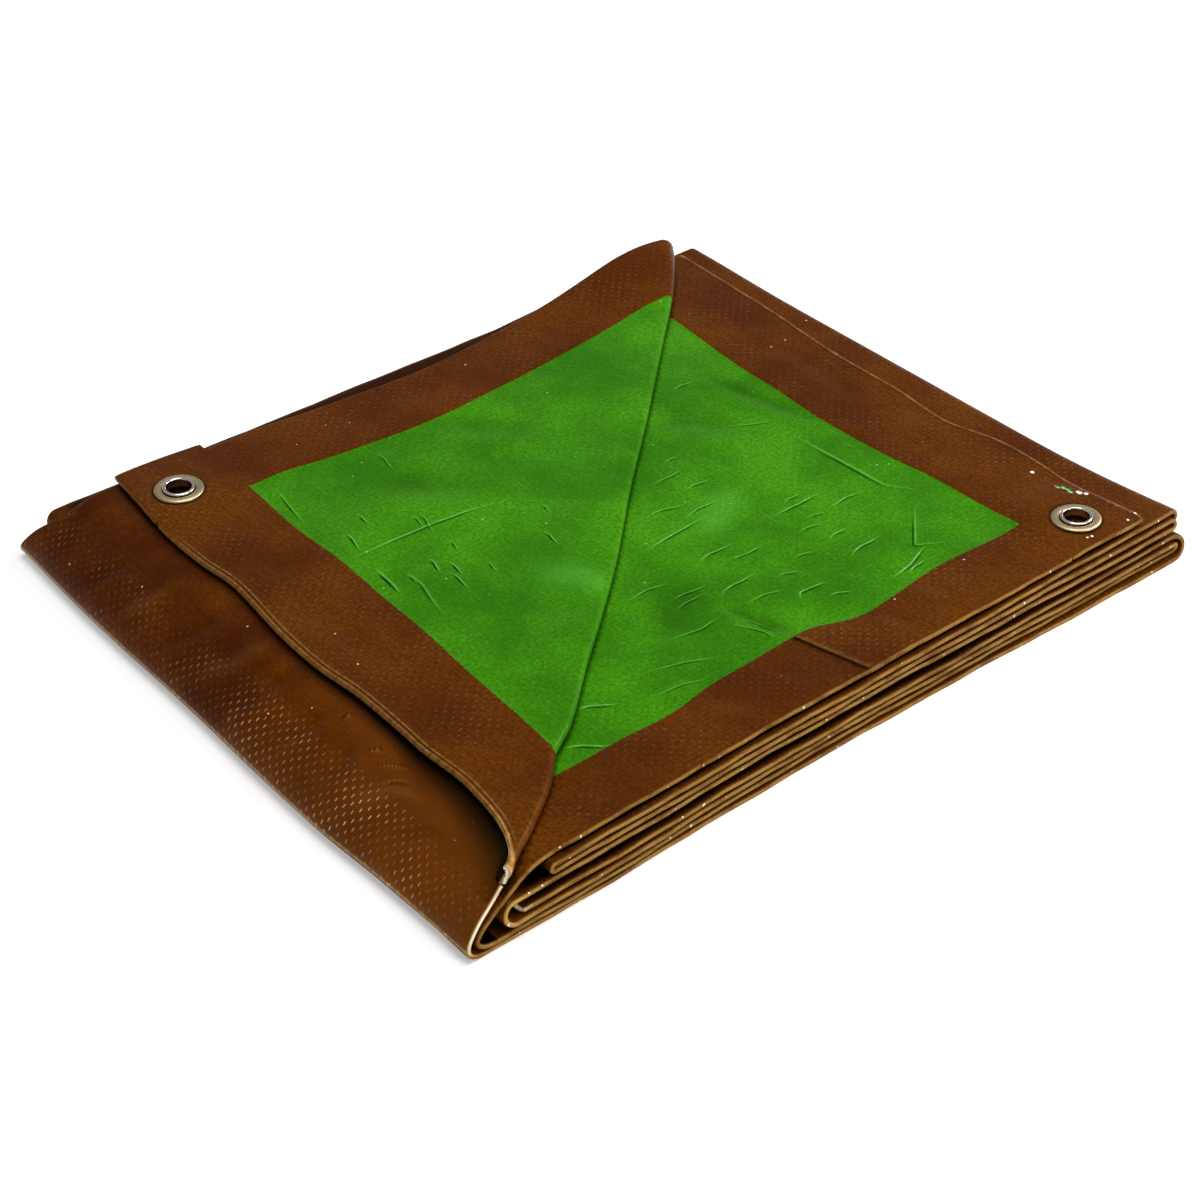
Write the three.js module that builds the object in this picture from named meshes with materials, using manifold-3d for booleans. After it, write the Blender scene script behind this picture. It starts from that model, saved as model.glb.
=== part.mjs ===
// A folded tarp, in millimetres, +Z up: one woven sheet, brown on one side and green on the other.
// The sheet is folded back and forth into a flat pack, wraps the pack's left end, and ends in a
// three-cornered flap that is turned back along a diagonal. Two corners carry a pressed metal eyelet.
// X runs along the long front edge, Y from the front edge to the back, and the pack lies on z = 0.
import * as THREE from "three";
import { mergeVertices } from "three/addons/utils/BufferGeometryUtils.js";
import Module from "manifold-3d";

const wasm = await Module();
wasm.setup();

// Driving sizes.
const CLOTH = 1.7; // thickness of a leaf
const HEM_EXTRA = 0.6; // how far a hem, the same cloth turned over, stands above its leaf
const HEM_SLOPE = 1.2; // width of the step at a hem's inner edge
const GAP = 0.3; // clearance between two pieces
const FRONT_SWELL = 0.05; // the hems along the front edge make the pack this much taller there
const PACK_FRONT = -160; // about where the leaves end at the front
const FLAP_TIP_LOW = 28.6; // the lowest that the flap's middle comes at its front tip
const FOLD_LEAN = 1.4; // a round fold on a diagonal is this much longer in a section along X

// The leaves from the surface up: the height of each one's middle, where its front edge lies at the
// pack's left end, middle and right end, and where its back edge lies at the left and right end.
const LEAVES = [
  { height: 0.85, front: { left: -163.2, middle: -160.8, right: -163.6 }, back: { left: 166, right: 160 } },
  { height: 3.65, front: { left: -163.5, middle: -159.6, right: -161 }, back: { left: 163, right: 158 } },
  { height: 7.6, front: { left: -164.5, middle: -160.3, right: -162.2 }, back: { left: 164, right: 159 } },
  { height: 10.4, front: { left: -163, middle: -160.3, right: -160.4 }, back: { left: 163.5, right: 160 } },
  { height: 13.4, front: { left: -154, middle: -154, right: -157 }, back: { left: 164.5, right: 161 } },
  { height: 16.2, front: { left: -162.5, middle: -159.4, right: -161.6 }, back: { left: 165.6, right: 164 } },
  { height: 19.4, front: { left: -162.1, middle: -159.6, right: -160.2 }, back: { left: 157, right: 156 } },
  { height: 22.2, front: { left: -161.7, middle: -159.2, right: -158.2 }, back: { left: 154, right: 158 } },
  { height: 25, front: { left: -158.7, middle: -156.4, right: -156.8 }, back: { left: 150, right: 152 } },
  { height: 27.8, front: { left: -158.5, middle: -158, right: -158 }, back: { left: 148.6, right: 160 } },
  { height: 30.6, front: { left: -158.5, middle: -158, right: -158 }, back: { left: 144, right: 153 } },
];
const [TOP, PANEL, FLAP] = [8, 9, 10]; // rows of that table

// How the sheet runs, from the top leaf's free edge to the flap: it leaves one leaf for the next round
// a turn whose centre lies at x = centre. The two wraps round the left end have their own route below.
const TURNS = [
  { from: 8, into: 1, wrap: "inner" },
  { from: 1, into: 2, centre: 189 },
  { from: 2, into: 5, centre: -175 },
  { from: 5, into: 6, centre: 187.6 },
  { from: 6, into: 7, centre: -155 },
  { from: 7, into: 4, centre: 187.6 },
  { from: 4, into: 3, centre: -170.5 },
  { from: 3, into: 0, centre: 189 },
  { from: 0, into: 9, wrap: "outer" },
];

// The middle of the sheet where it wraps the left end, from the surface up to the top.
const WRAPS = {
  inner: [
    { x: -184.0, z: 3.65 },
    { x: -189.3, z: 4.1 },
    { x: -192.0, z: 6.0 },
    { x: -191.7, z: 8.2 },
    { x: -188.7, z: 11.3 },
    { x: -182.5, z: 15.2 },
    { x: -175.5, z: 18.9 },
    { x: -168.5, z: 22.6 },
    { x: -161.0, z: 24.8 },
    { x: -152.0, z: 25.0 },
  ],
  outer: [
    { x: -186.0, z: 0.85 },
    { x: -192.5, z: 1.3 },
    { x: -196.0, z: 3.4 },
    { x: -196.6, z: 6.2 },
    { x: -194.9, z: 9.5 },
    { x: -190.5, z: 14.0 },
    { x: -184.0, z: 18.3 },
    { x: -177.5, z: 22.0 },
  ],
};
// Above the last point of the outer wrap the brown panel rises like this to lie level on the top leaf.
const PANEL_RISE = [
  { x: -177.5, z: 22.0 },
  { x: -170.5, z: 25.9 },
  { x: -163.0, z: 27.6 },
  { x: -155.0, z: 27.8 },
];

// The left end's own line, as a shift along X of the wraps, and how far the right end stands out.
const LEFT_END = [
  { y: -165, shift: 0.9 },
  { y: -110, shift: 0.0 },
  { y: -65, shift: -2.2 },
  { y: 20, shift: -0.7 },
  { y: 95, shift: -0.5 },
  { y: 166, shift: 2.2 },
];
const RIGHT_END_SHIFT = { front: 4.4, back: 2 };
const LEFT_TURN_SHIFT = -1.2; // how far the hidden left turns reach out at the back
const EDGE_HOLD = 3; // how long the outer wrap keeps the bottom leaf's edges as it climbs
const TURN_LENGTH = 1.5; // a right turn reaches this many times its radius past its centre

// The diagonal fold, the flap's free left edge and its back edge, and the top leaf's right edge.
const FOLD_LINE = [
  { y: -158.5, x: -171.3 },
  { y: -142.0, x: -147.5 },
  { y: -119.0, x: -120.5 },
  { y: -60.0, x: -46.5 },
  { y: 37.0, x: 57.5 },
  { y: 100.0, x: 126.0 },
  { y: 158.0, x: 178.5 },
];
const FLAP_LEFT = [
  { y: -158.5, x: -174.5 },
  { y: -141.0, x: -163.6 },
  { y: -110.0, x: -158.5 },
  { y: -45.0, x: -158.9 },
  { y: 0.0, x: -161.0 },
  { y: 50.0, x: -157.0 },
  { y: 100.0, x: -158.5 },
  { y: 150.0, x: -153.0 },
];
const FLAP_BACK = [
  { x: -160.0, y: 144.0 },
  { x: -80.0, y: 143.0 },
  { x: 0.0, y: 137.8 },
  { x: 60.0, y: 143.5 },
  { x: 110.0, y: 150.0 },
  { x: 150.0, y: 154.0 },
  { x: 178.0, y: 153.0 },
];
const TOP_RIGHT = [
  { y: -158.0, x: 175.0 },
  { y: -100.0, x: 176.0 },
  { y: -45.0, x: 170.5 },
  { y: 28.0, x: 172.8 },
  { y: 100.0, x: 178.0 },
  { y: 151.0, x: 180.0 },
];

// Inner edges of the hems that show, and the sections of the pack at which the sheet is worked out.
const TOP_HEM = { x: 130, y: -123 };
const FLAP_HEM = { x: -115, y: 104 };
const SECTIONS = [-145, -123, -121.8, -95, -60, -20, 20, 60, 90, 102.8, 104, 125];
const PLAIN_STEPS = 6; // steps along a hidden leaf
const SHOWN_STEPS = 11; // steps along the top leaf, the panel and the flap
const TURN_STEPS = { small: 6, large: 8 };
const LARGE_TURN = 3; // radius above which a turn takes more steps

// The flap stands off the pack near its back tip: where, how far that spreads and how high it is.
const TIP_RISE = { x: 150, y: 156, spreadX: 48, spreadY: 30, height: 7.5 };

// The eyelets: a barrel with a rolled rim above the cloth and a flange below, on a broad washer.
const EYELET = {
  bore: 5.65,
  barrel: 6.4,
  rim: 7.0,
  rimHeight: 1.7,
  flange: 10.4,
  flangeThick: 0.6,
  washer: 11.0,
  washerHeight: 1.1,
  clothHole: 6.9,
  sides: 40,
};
// Where the eyelets sit, and the height of the cloth's middle there. Each holds its leaf flat.
const EYELETS = [
  { side: "right", x: 152.5, y: -138.3, leaf: TOP, height: 26.8 },
  { side: "left", x: -137.2, y: 121.6, leaf: FLAP, height: 31.9 },
];
const FLAT_ROUND_EYELET = { within: 13, until: 36 };

// The doubled hem corners that hold the eyelets. The left one ends at a notch in the flap's back edge.
const NOTCH_X = -110;
const CORNER_BACK = { left: 150.6, right: 149.0 };
const CORNER_STEPS = 8;

const colours = { brown: 0x5c2c0a, green: 0x2f8a14, metal: 0xd9d2c2 };
const finishes = {
  cloth: new THREE.MeshStandardMaterial({ color: colours.brown, roughness: 0.45, metalness: 0 }),
  strip: new THREE.MeshStandardMaterial({ color: colours.brown, roughness: 0.45, metalness: 0 }),
  metal: new THREE.MeshStandardMaterial({ color: colours.metal, roughness: 0.25, metalness: 1 }),
};

// A smooth curve through a table's rows, ordered by one column, read at a value of that column.
function along(table, by, column, value) {
  const last = table.length - 1;
  let i = 0;
  while (i < last - 1 && value > table[i + 1][by]) i++;
  const [a, b] = [table[i], table[i + 1]];
  const before = table[Math.max(i - 1, 0)];
  const after = table[Math.min(i + 2, last)];
  const span = b[by] - a[by];
  const t = THREE.MathUtils.clamp((value - a[by]) / span, 0, 1);
  const slopeA = ((b[column] - before[column]) / (b[by] - before[by])) * span;
  const slopeB = ((after[column] - a[column]) / (after[by] - a[by])) * span;
  const [t2, t3] = [t * t, t * t * t];
  return (
    (2 * t3 - 3 * t2 + 1) * a[column] +
    (t3 - 2 * t2 + t) * slopeA +
    (3 * t2 - 2 * t3) * b[column] +
    (t3 - t2) * slopeB
  );
}

const { lerp, smoothstep } = THREE.MathUtils;

// The pack is a little taller where its hems lie on each other along the front.
const swollen = (height, y) => height * (1 + FRONT_SWELL * smoothstep(-y, 120, -PACK_FRONT));

const foldAt = (y) => along(FOLD_LINE, "y", "x", y);
const panelHeight = (x) => along(PANEL_RISE, "x", "z", x);

// How high the flap lies: it stays level past the panel's slope, but comes down at its front tip.
function flapHeight(x, y) {
  const { x: tipX, y: tipY, spreadX, spreadY, height } = TIP_RISE;
  const rise = height * Math.exp(-(((x - tipX) / spreadX) ** 2) - ((y - tipY) / spreadY) ** 2);
  const overPanel = panelHeight(x) + LEAVES[FLAP].height - LEAVES[PANEL].height;
  const atTip = smoothstep(-y, 136, 158);
  return lerp(LEAVES[FLAP].height + rise, Math.max(overPanel, FLAP_TIP_LOW), atTip);
}

// The height of the middle of a leaf at a place.
function middleHeight(leaf, x, y) {
  const free = swollen(leaf === FLAP ? flapHeight(x, y) : LEAVES[leaf].height, y);
  const eyelet = EYELETS.find((one) => one.leaf === leaf);
  if (!eyelet) return free;
  const away = Math.hypot(x - eyelet.x, y - eyelet.y);
  return lerp(eyelet.height, free, smoothstep(away, FLAT_ROUND_EYELET.within, FLAT_ROUND_EYELET.until));
}

function frontEdge(leaf, x) {
  const { left, middle, right } = LEAVES[leaf].front;
  if (x < 0) return lerp(middle, left, smoothstep(-x, 20, 165));
  return lerp(middle, right, smoothstep(x, 20, 185));
}

function backEdge(leaf, x) {
  if (leaf === FLAP) return along(FLAP_BACK, "x", "y", x);
  const { left, right } = LEAVES[leaf].back;
  return lerp(left, right, smoothstep(x, 30, 185));
}

// The steps of the sheet's route. Each gives its place in a section at depth y, and the leaves whose
// front and back edges it takes, mixed by share.
function leafSteps(leaf, startX, endX, steps, withEnds) {
  const route = [];
  const [first, last] = withEnds ? [0, steps] : [1, steps - 1];
  for (let i = first; i <= last; i++) {
    const share = i / steps;
    const place = (y) => {
      const x = lerp(startX(y), endX(y), share);
      return { x, z: middleHeight(leaf, x, y) };
    };
    route.push({ place, from: leaf, into: leaf, share: 0 });
  }
  return route;
}

function turnSteps(turn) {
  const [low, high] = [LEAVES[turn.from].height, LEAVES[turn.into].height];
  const radius = (high - low) / 2; // negative where the sheet turns downwards
  const steps = Math.abs(radius) > LARGE_TURN ? TURN_STEPS.large : TURN_STEPS.small;
  const outward = Math.sign(turn.centre);
  const reach = Math.abs(radius) * (turn.centre > 0 ? TURN_LENGTH : 1);
  const route = [];
  for (let i = 0; i <= steps; i++) {
    const angle = (Math.PI * i) / steps;
    const place = (y) => ({
      x: turn.centre + unevenEnd(turn.centre, y) + outward * reach * Math.sin(angle),
      z: swollen((low + high) / 2 - radius * Math.cos(angle), y),
    });
    route.push({ place, from: turn.from, into: turn.into, share: i / steps });
  }
  return route;
}

// The folded ends aren't straight from front to back: how far each shifts along X at a depth y.
function unevenEnd(centre, y) {
  const [atFront, atBack] = [smoothstep(-y, 80, 165), smoothstep(y, 80, 160)];
  if (centre > 0) return RIGHT_END_SHIFT.front * atFront + RIGHT_END_SHIFT.back * atBack;
  return centre < -160 ? LEFT_TURN_SHIFT * atBack : 0;
}

// The shift of the left end's line fades out towards the top of the slope.
const leftEndShift = (x, y) => along(LEFT_END, "y", "shift", y) * smoothstep(-x, 165, 190);

function wrapSteps(turn) {
  const points = WRAPS[turn.wrap];
  const downwards = turn.wrap === "inner";
  const ordered = downwards ? points.toReversed() : points;
  return ordered.map(({ x, z }, i) => ({
    place: (y) => ({ x: x + leftEndShift(x, y), z: swollen(z, y) }),
    from: turn.from,
    into: turn.into,
    share: (i / (ordered.length - 1)) ** (downwards ? 1 : EDGE_HOLD),
  }));
}

const panelStart = WRAPS.outer[WRAPS.outer.length - 1].x;

// The brown panel on top of the pack, from the wrap to the diagonal.
function panelSteps() {
  const route = [];
  for (let i = 1; i <= SHOWN_STEPS; i++) {
    const place = (y) => {
      const end = foldAt(y) - foldRadius(y) * FOLD_LEAN;
      const x = lerp(panelStart, end, (i / SHOWN_STEPS) ** 1.6);
      return { x, z: swollen(panelHeight(x), y) };
    };
    route.push({ place, from: PANEL, into: PANEL, share: 0 });
  }
  return route;
}

// Half the height between the panel and the flap at the fold.
function foldRadius(y) {
  const x = foldAt(y) - 2;
  return (flapHeight(x, y) - panelHeight(x)) / 2;
}

// The diagonal fold, and the flap from there to its free edge.
function flapSteps() {
  const route = [];
  const steps = TURN_STEPS.small;
  for (let i = 1; i <= steps; i++) {
    const angle = (Math.PI * i) / steps;
    const place = (y) => {
      const radius = foldRadius(y);
      const base = foldAt(y) - radius * FOLD_LEAN;
      return {
        x: base + radius * FOLD_LEAN * Math.sin(angle),
        z: swollen(panelHeight(base) + radius * (1 - Math.cos(angle)), y),
      };
    };
    route.push({ place, from: PANEL, into: FLAP, share: i / steps });
  }
  for (let i = 1; i <= SHOWN_STEPS; i++) {
    const place = (y) => {
      const start = foldAt(y) - foldRadius(y) * FOLD_LEAN;
      const end = Math.min(along(FLAP_LEFT, "y", "x", y), start - 1.5);
      const x = hemmedShare(start, end, FLAP_HEM.x, i / SHOWN_STEPS);
      return { x, z: middleHeight(FLAP, x, y) };
    };
    route.push({ place, from: FLAP, into: FLAP, share: 0 });
  }
  return route;
}

// Shares a run so that, where it crosses a hem's inner edge, two of its steps lie on either side.
function hemmedShare(start, end, hem, share) {
  const hemShares = { before: 7 / SHOWN_STEPS, after: 8 / SHOWN_STEPS };
  const before = hem + (HEM_SLOPE / 2) * Math.sign(start - end);
  if ((start - before) * (before - end) <= 0 || Math.abs(start - end) < 60) return lerp(start, end, share);
  const after = hem - (HEM_SLOPE / 2) * Math.sign(start - end);
  if (share <= hemShares.before) return lerp(start, before, share / hemShares.before);
  if (share >= hemShares.after) return lerp(after, end, (share - hemShares.after) / (1 - hemShares.after));
  return after;
}

function topSteps() {
  const route = [];
  const end = WRAPS.inner[WRAPS.inner.length - 1].x;
  for (let i = 0; i < SHOWN_STEPS; i++) {
    const share = 1 - i / SHOWN_STEPS;
    const place = (y) => {
      const x = hemmedShare(end, along(TOP_RIGHT, "y", "x", y), TOP_HEM.x, share);
      return { x, z: middleHeight(TOP, x, y) };
    };
    route.push({ place, from: TOP, into: TOP, share: 0 });
  }
  return route;
}

// The whole route: the top leaf, each turn and the hidden leaf after it, the panel and the flap.
function sheetRoute() {
  const route = topSteps();
  TURNS.forEach((turn, i) => {
    route.push(...(turn.wrap ? wrapSteps(turn) : turnSteps(turn)));
    const next = TURNS[i + 1];
    if (!next) return;
    const start = route[route.length - 1].place;
    const end = (next.wrap ? wrapSteps(next) : turnSteps(next))[0].place;
    route.push(...leafSteps(turn.into, (y) => start(y).x, (y) => end(y).x, PLAIN_STEPS, false));
  });
  return [...route, ...panelSteps(), ...flapSteps()];
}

// The sheet's middle as a grid of points: a row for each step of the route, from front to back.
function sheetGrid() {
  return sheetRoute().map((step) => {
    const reach = (y) => {
      const { x, z } = step.place(y);
      return new THREE.Vector3(x, y, z);
    };
    const edge = (edgeOf, guess) => {
      const { x } = step.place(guess);
      return lerp(edgeOf(step.from, x), edgeOf(step.into, x), step.share);
    };
    const front = edge(frontEdge, PACK_FRONT + 2);
    const back = edge(backEdge, 150);
    return [reach(front), ...SECTIONS.map(reach), reach(back)];
  });
}

// How much thicker the sheet is on its green side, where a hem shows.
function hemExtra(row, endRow, { x, y }) {
  const onTop = row < SHOWN_STEPS;
  const onFlap = row > endRow - SHOWN_STEPS;
  if (onTop) return x > TOP_HEM.x || y < TOP_HEM.y + 0.1 ? HEM_EXTRA : 0;
  if (onFlap) return x < FLAP_HEM.x || y > FLAP_HEM.y - 0.1 ? HEM_EXTRA : 0;
  return 0;
}

// A closed solid between two grids of points that face each other, with walls all round.
function closedBetween(faceGrid, backGrid) {
  const [rows, columns] = [faceGrid.length, faceGrid[0].length];
  const face = (i, j) => i * columns + j;
  const back = (i, j) => rows * columns + face(i, j);
  const corners = [];
  const quad = (a, b, c, d) => corners.push(a, b, c, a, c, d);
  for (let i = 0; i < rows - 1; i++)
    for (let j = 0; j < columns - 1; j++) {
      quad(face(i, j), face(i + 1, j), face(i + 1, j + 1), face(i, j + 1));
      quad(back(i, j), back(i, j + 1), back(i + 1, j + 1), back(i + 1, j));
    }
  const [endRow, endColumn] = [rows - 1, columns - 1];
  for (let i = 0; i < endRow; i++) {
    quad(face(i, 0), back(i, 0), back(i + 1, 0), face(i + 1, 0));
    quad(face(i + 1, endColumn), back(i + 1, endColumn), back(i, endColumn), face(i, endColumn));
  }
  for (let j = 0; j < endColumn; j++) {
    quad(face(0, j + 1), back(0, j + 1), back(0, j), face(0, j));
    quad(face(endRow, j), back(endRow, j), back(endRow, j + 1), face(endRow, j + 1));
  }
  const geometry = new THREE.BufferGeometry().setFromPoints([...faceGrid.flat(), ...backGrid.flat()]);
  geometry.setIndex(corners);
  return geometry;
}

// The sheet at its real thickness: its brown side lies on one side of the middle, green on the other.
function thickSheet(grid) {
  const [endRow, endColumn] = [grid.length - 1, grid[0].length - 1];
  const brown = [];
  const green = [];
  grid.forEach((line, i) => {
    const normals = line.map((point, j) => {
      const route = grid[Math.min(i + 1, endRow)][j].clone().sub(grid[Math.max(i - 1, 0)][j]);
      const depth = line[Math.min(j + 1, endColumn)].clone().sub(line[Math.max(j - 1, 0)]);
      return route.cross(depth).normalize();
    });
    const offset = (point, j, by) => point.clone().addScaledVector(normals[j], by);
    brown.push(line.map((point, j) => offset(point, j, CLOTH / 2)));
    green.push(line.map((point, j) => offset(point, j, -CLOTH / 2 - hemExtra(i, endRow, point))));
  });
  return closedBetween(brown, green);
}

function solidOf(geometry) {
  const plain = new THREE.BufferGeometry().setAttribute("position", geometry.getAttribute("position"));
  if (geometry.index) plain.setIndex(geometry.index);
  const merged = mergeVertices(plain, 1e-4);
  return new wasm.Manifold(
    new wasm.Mesh({
      numProp: 3,
      vertProperties: new Float32Array(merged.attributes.position.array),
      triVerts: new Uint32Array(merged.index.array),
    }),
  );
}

function geometryOf(solid) {
  const { vertProperties, triVerts } = solid.getMesh();
  const geometry = new THREE.BufferGeometry();
  geometry.setAttribute("position", new THREE.BufferAttribute(new Float32Array(vertProperties), 3));
  geometry.setIndex(new THREE.BufferAttribute(new Uint32Array(triVerts), 1));
  const flat = geometry.toNonIndexed();
  flat.computeVertexNormals();
  return flat;
}

// A slab that follows a leaf over a field, from below its middle to above it. The field's left and
// right edges are given at a depth y, and its front and back edges at an x.
function leafSlab(leaf, field, below, above) {
  const grid = [];
  for (let i = 0; i <= CORNER_STEPS; i++) {
    const line = [];
    for (let j = 0; j <= CORNER_STEPS; j++) {
      const roughY = lerp(field.front(0), field.back(0), j / CORNER_STEPS);
      const x = lerp(field.left(roughY), field.right(roughY), i / CORNER_STEPS);
      const y = lerp(field.front(x), field.back(x), j / CORNER_STEPS);
      line.push(new THREE.Vector3(x, y, middleHeight(leaf, x, y)));
    }
    grid.push(line);
  }
  const raised = (by) => grid.map((line) => line.map(({ x, y, z }) => new THREE.Vector3(x, y, z + by)));
  return closedBetween(raised(above), raised(-below));
}

const constant = (value) => () => value;

// The field that a corner takes out of its leaf, and the smaller one that the corner strip fills.
const FIELDS = {
  right: {
    cut: {
      left: constant(TOP_HEM.x + HEM_SLOPE),
      right: constant(186),
      front: constant(-168),
      back: constant(TOP_HEM.y - HEM_SLOPE),
    },
    strip: {
      left: constant(TOP_HEM.x + HEM_SLOPE + GAP),
      right: (y) => along(TOP_RIGHT, "y", "x", y),
      front: (x) => frontEdge(TOP, x) - 0.5,
      back: constant(TOP_HEM.y - HEM_SLOPE - GAP),
    },
  },
  left: {
    cut: {
      left: constant(-168),
      right: constant(NOTCH_X),
      front: constant(FLAP_HEM.y + HEM_SLOPE),
      back: constant(160),
    },
    strip: {
      left: (y) => along(FLAP_LEFT, "y", "x", y),
      right: constant(NOTCH_X - GAP),
      front: constant(FLAP_HEM.y + HEM_SLOPE + GAP),
      back: (x) => lerp(CORNER_BACK.left, CORNER_BACK.right, smoothstep(x, -158, NOTCH_X)),
    },
  },
};

const CUT_DEPTH = { below: CLOTH / 2 + 0.6, above: 4 };

function clothSolid() {
  let solid = solidOf(thickSheet(sheetGrid()));
  EYELETS.forEach(({ side, leaf }) => {
    const cut = solidOf(leafSlab(leaf, FIELDS[side].cut, CUT_DEPTH.below, CUT_DEPTH.above));
    solid = solid.subtract(cut);
  });
  return largestBody(solid);
}

// The cuts may leave a crumb where they run along a face: only the sheet itself is kept.
function largestBody(solid) {
  return solid.decompose().reduce((best, body) => (body.volume() > best.volume() ? body : best));
}

function cornerStrip({ side, leaf, x, y }) {
  const strip = solidOf(leafSlab(leaf, FIELDS[side].strip, CLOTH / 2, CLOTH / 2 + HEM_EXTRA));
  const hole = new THREE.CylinderGeometry(EYELET.clothHole, EYELET.clothHole, 20, EYELET.sides);
  hole.rotateX(Math.PI / 2).translate(x, y, middleHeight(leaf, x, y));
  return geometryOf(strip.subtract(solidOf(hole)));
}

// A ring turned round the Z axis from a closed outline of radius and height pairs.
function turned(outline) {
  const points = [...outline, outline[0]].map(([radius, height]) => new THREE.Vector2(radius, height));
  return new THREE.LatheGeometry(points, EYELET.sides).rotateX(Math.PI / 2);
}

// Heights count from the middle of the cloth that the ring clamps.
const CLOTH_TOP = CLOTH / 2 + HEM_EXTRA + GAP;
const CLOTH_UNDER = -CLOTH / 2 - GAP;

function eyeletRing() {
  const { bore, barrel, rim, rimHeight, flange, flangeThick } = EYELET;
  const top = CLOTH_TOP + rimHeight;
  return turned([
    [bore, CLOTH_UNDER - flangeThick],
    [flange - 0.4, CLOTH_UNDER - flangeThick],
    [flange, CLOTH_UNDER - flangeThick / 2],
    [flange - 0.2, CLOTH_UNDER],
    [barrel, CLOTH_UNDER],
    [barrel, top - 1.2],
    [rim, top - 0.9],
    [rim, top - 0.4],
    [(bore + rim) / 2 + 0.2, top],
    [bore + 0.3, top - 0.1],
    [bore, top - 0.5],
  ]);
}

function washerRing() {
  const { rim, washer, washerHeight } = EYELET;
  const inner = rim + GAP;
  return turned([
    [inner, CLOTH_TOP],
    [washer, CLOTH_TOP],
    [washer, CLOTH_TOP + 0.35],
    [washer - 0.7, CLOTH_TOP + washerHeight - 0.15],
    [washer - 1.6, CLOTH_TOP + washerHeight],
    [inner + 0.7, CLOTH_TOP + washerHeight - 0.1],
    [inner, CLOTH_TOP + washerHeight - 0.5],
  ]);
}

function meshOf(name, geometry, finish) {
  const mesh = new THREE.Mesh(geometry, finish);
  mesh.name = name;
  return mesh;
}

const tarp = new THREE.Group();
tarp.add(meshOf("cloth", geometryOf(clothSolid()), finishes.cloth));
for (const eyelet of EYELETS) {
  tarp.add(meshOf("corner_strip_" + eyelet.side, cornerStrip(eyelet), finishes.strip));
  const rings = new THREE.Group();
  rings.position.set(eyelet.x, eyelet.y, middleHeight(eyelet.leaf, eyelet.x, eyelet.y));
  rings.add(meshOf("eyelet_" + eyelet.side, eyeletRing(), finishes.metal));
  rings.add(meshOf("washer_" + eyelet.side, washerRing(), finishes.metal));
  tarp.add(rings);
}

// The frame's origin lies below the middle of the pack.
const pack = new THREE.Box3().setFromObject(tarp).getCenter(new THREE.Vector3());
tarp.position.set(-pack.x, -pack.y, 0);

export default tarp;
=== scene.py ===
"""A folded tarp: woven plastic sheet, brown outside and green inside, with wide brown hems and two eyelets.

The tables give lengths in millimetres. X runs along the pack's long front edge, Y from the front edge to
the back, and Z up. place_in_frame turns them into the frame's metres.
"""
import math
from collections import namedtuple

import bpy
import numpy as np
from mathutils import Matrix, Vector
from mathutils.geometry import delaunay_2d_cdt
from mathutils.kdtree import KDTree


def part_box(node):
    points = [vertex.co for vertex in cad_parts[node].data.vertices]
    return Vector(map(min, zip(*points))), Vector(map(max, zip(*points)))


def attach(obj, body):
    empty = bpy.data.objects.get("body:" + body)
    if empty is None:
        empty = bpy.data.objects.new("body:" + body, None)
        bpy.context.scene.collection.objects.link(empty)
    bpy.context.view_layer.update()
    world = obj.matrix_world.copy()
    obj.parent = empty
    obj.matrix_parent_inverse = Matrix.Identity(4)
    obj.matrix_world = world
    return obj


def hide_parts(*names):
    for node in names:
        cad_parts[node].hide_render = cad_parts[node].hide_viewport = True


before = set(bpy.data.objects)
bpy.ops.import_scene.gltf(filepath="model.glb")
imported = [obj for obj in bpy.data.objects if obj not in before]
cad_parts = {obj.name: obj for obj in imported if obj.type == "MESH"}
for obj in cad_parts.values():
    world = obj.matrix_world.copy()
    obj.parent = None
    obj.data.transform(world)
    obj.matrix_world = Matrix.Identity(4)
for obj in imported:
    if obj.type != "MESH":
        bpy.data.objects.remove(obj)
for name in ("Cube", "Light", "Camera"):
    if name in bpy.data.objects:
        bpy.data.objects.remove(bpy.data.objects[name])
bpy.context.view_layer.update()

MM = 0.001
BODY = "root"

# Sheet sizes.
CLOTH = 1.6  # thickness of a leaf, which stands for a few plies
RIM_THICKNESS = 2.25  # a leaf's thickness at its front edge, where the hems lie in it
HEM_STEP = 0.5  # how far a hem stands above its sheet
HEM_STEP_WIDTH = 0.5
FRONT_WAVES, BACK_WAVES = 0.35, 0.4  # how unevenly the edges of the leaves run
FRONT_SWELL = 0.05  # the hems make the pack this much taller along its front
FLAP_TIP_LOW = 28.6  # the lowest that the flap comes, at its front tip
TURN_LENGTH = 1.5  # a right turn reaches this many times its radius past its centre

Leaf = namedtuple("Leaf", "height front_left front_middle front_right back_left back_right")
LEAVES = [
    Leaf(0.85, -163.2, -160.8, -163.6, 166.0, 160.0),
    Leaf(3.65, -163.5, -159.6, -161.0, 163.0, 158.0),
    Leaf(7.6, -164.5, -160.3, -162.2, 164.0, 159.0),
    Leaf(10.4, -163.0, -160.3, -160.4, 163.5, 160.0),
    Leaf(13.4, -154.0, -154.0, -157.0, 164.5, 161.0),
    Leaf(16.2, -162.5, -159.4, -161.6, 165.6, 164.0),
    Leaf(19.4, -162.1, -159.6, -160.2, 157.0, 156.0),
    Leaf(22.2, -161.7, -159.2, -158.2, 154.0, 158.0),
    Leaf(25.0, -158.7, -156.4, -156.8, 150.0, 152.0),
    Leaf(27.8, -158.5, -158.0, -158.0, 148.6, 160.0),
    Leaf(30.6, -158.5, -158.0, -158.0, 144.0, 153.0),
]
TOP, PANEL, FLAP = 8, 9, 10

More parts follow.
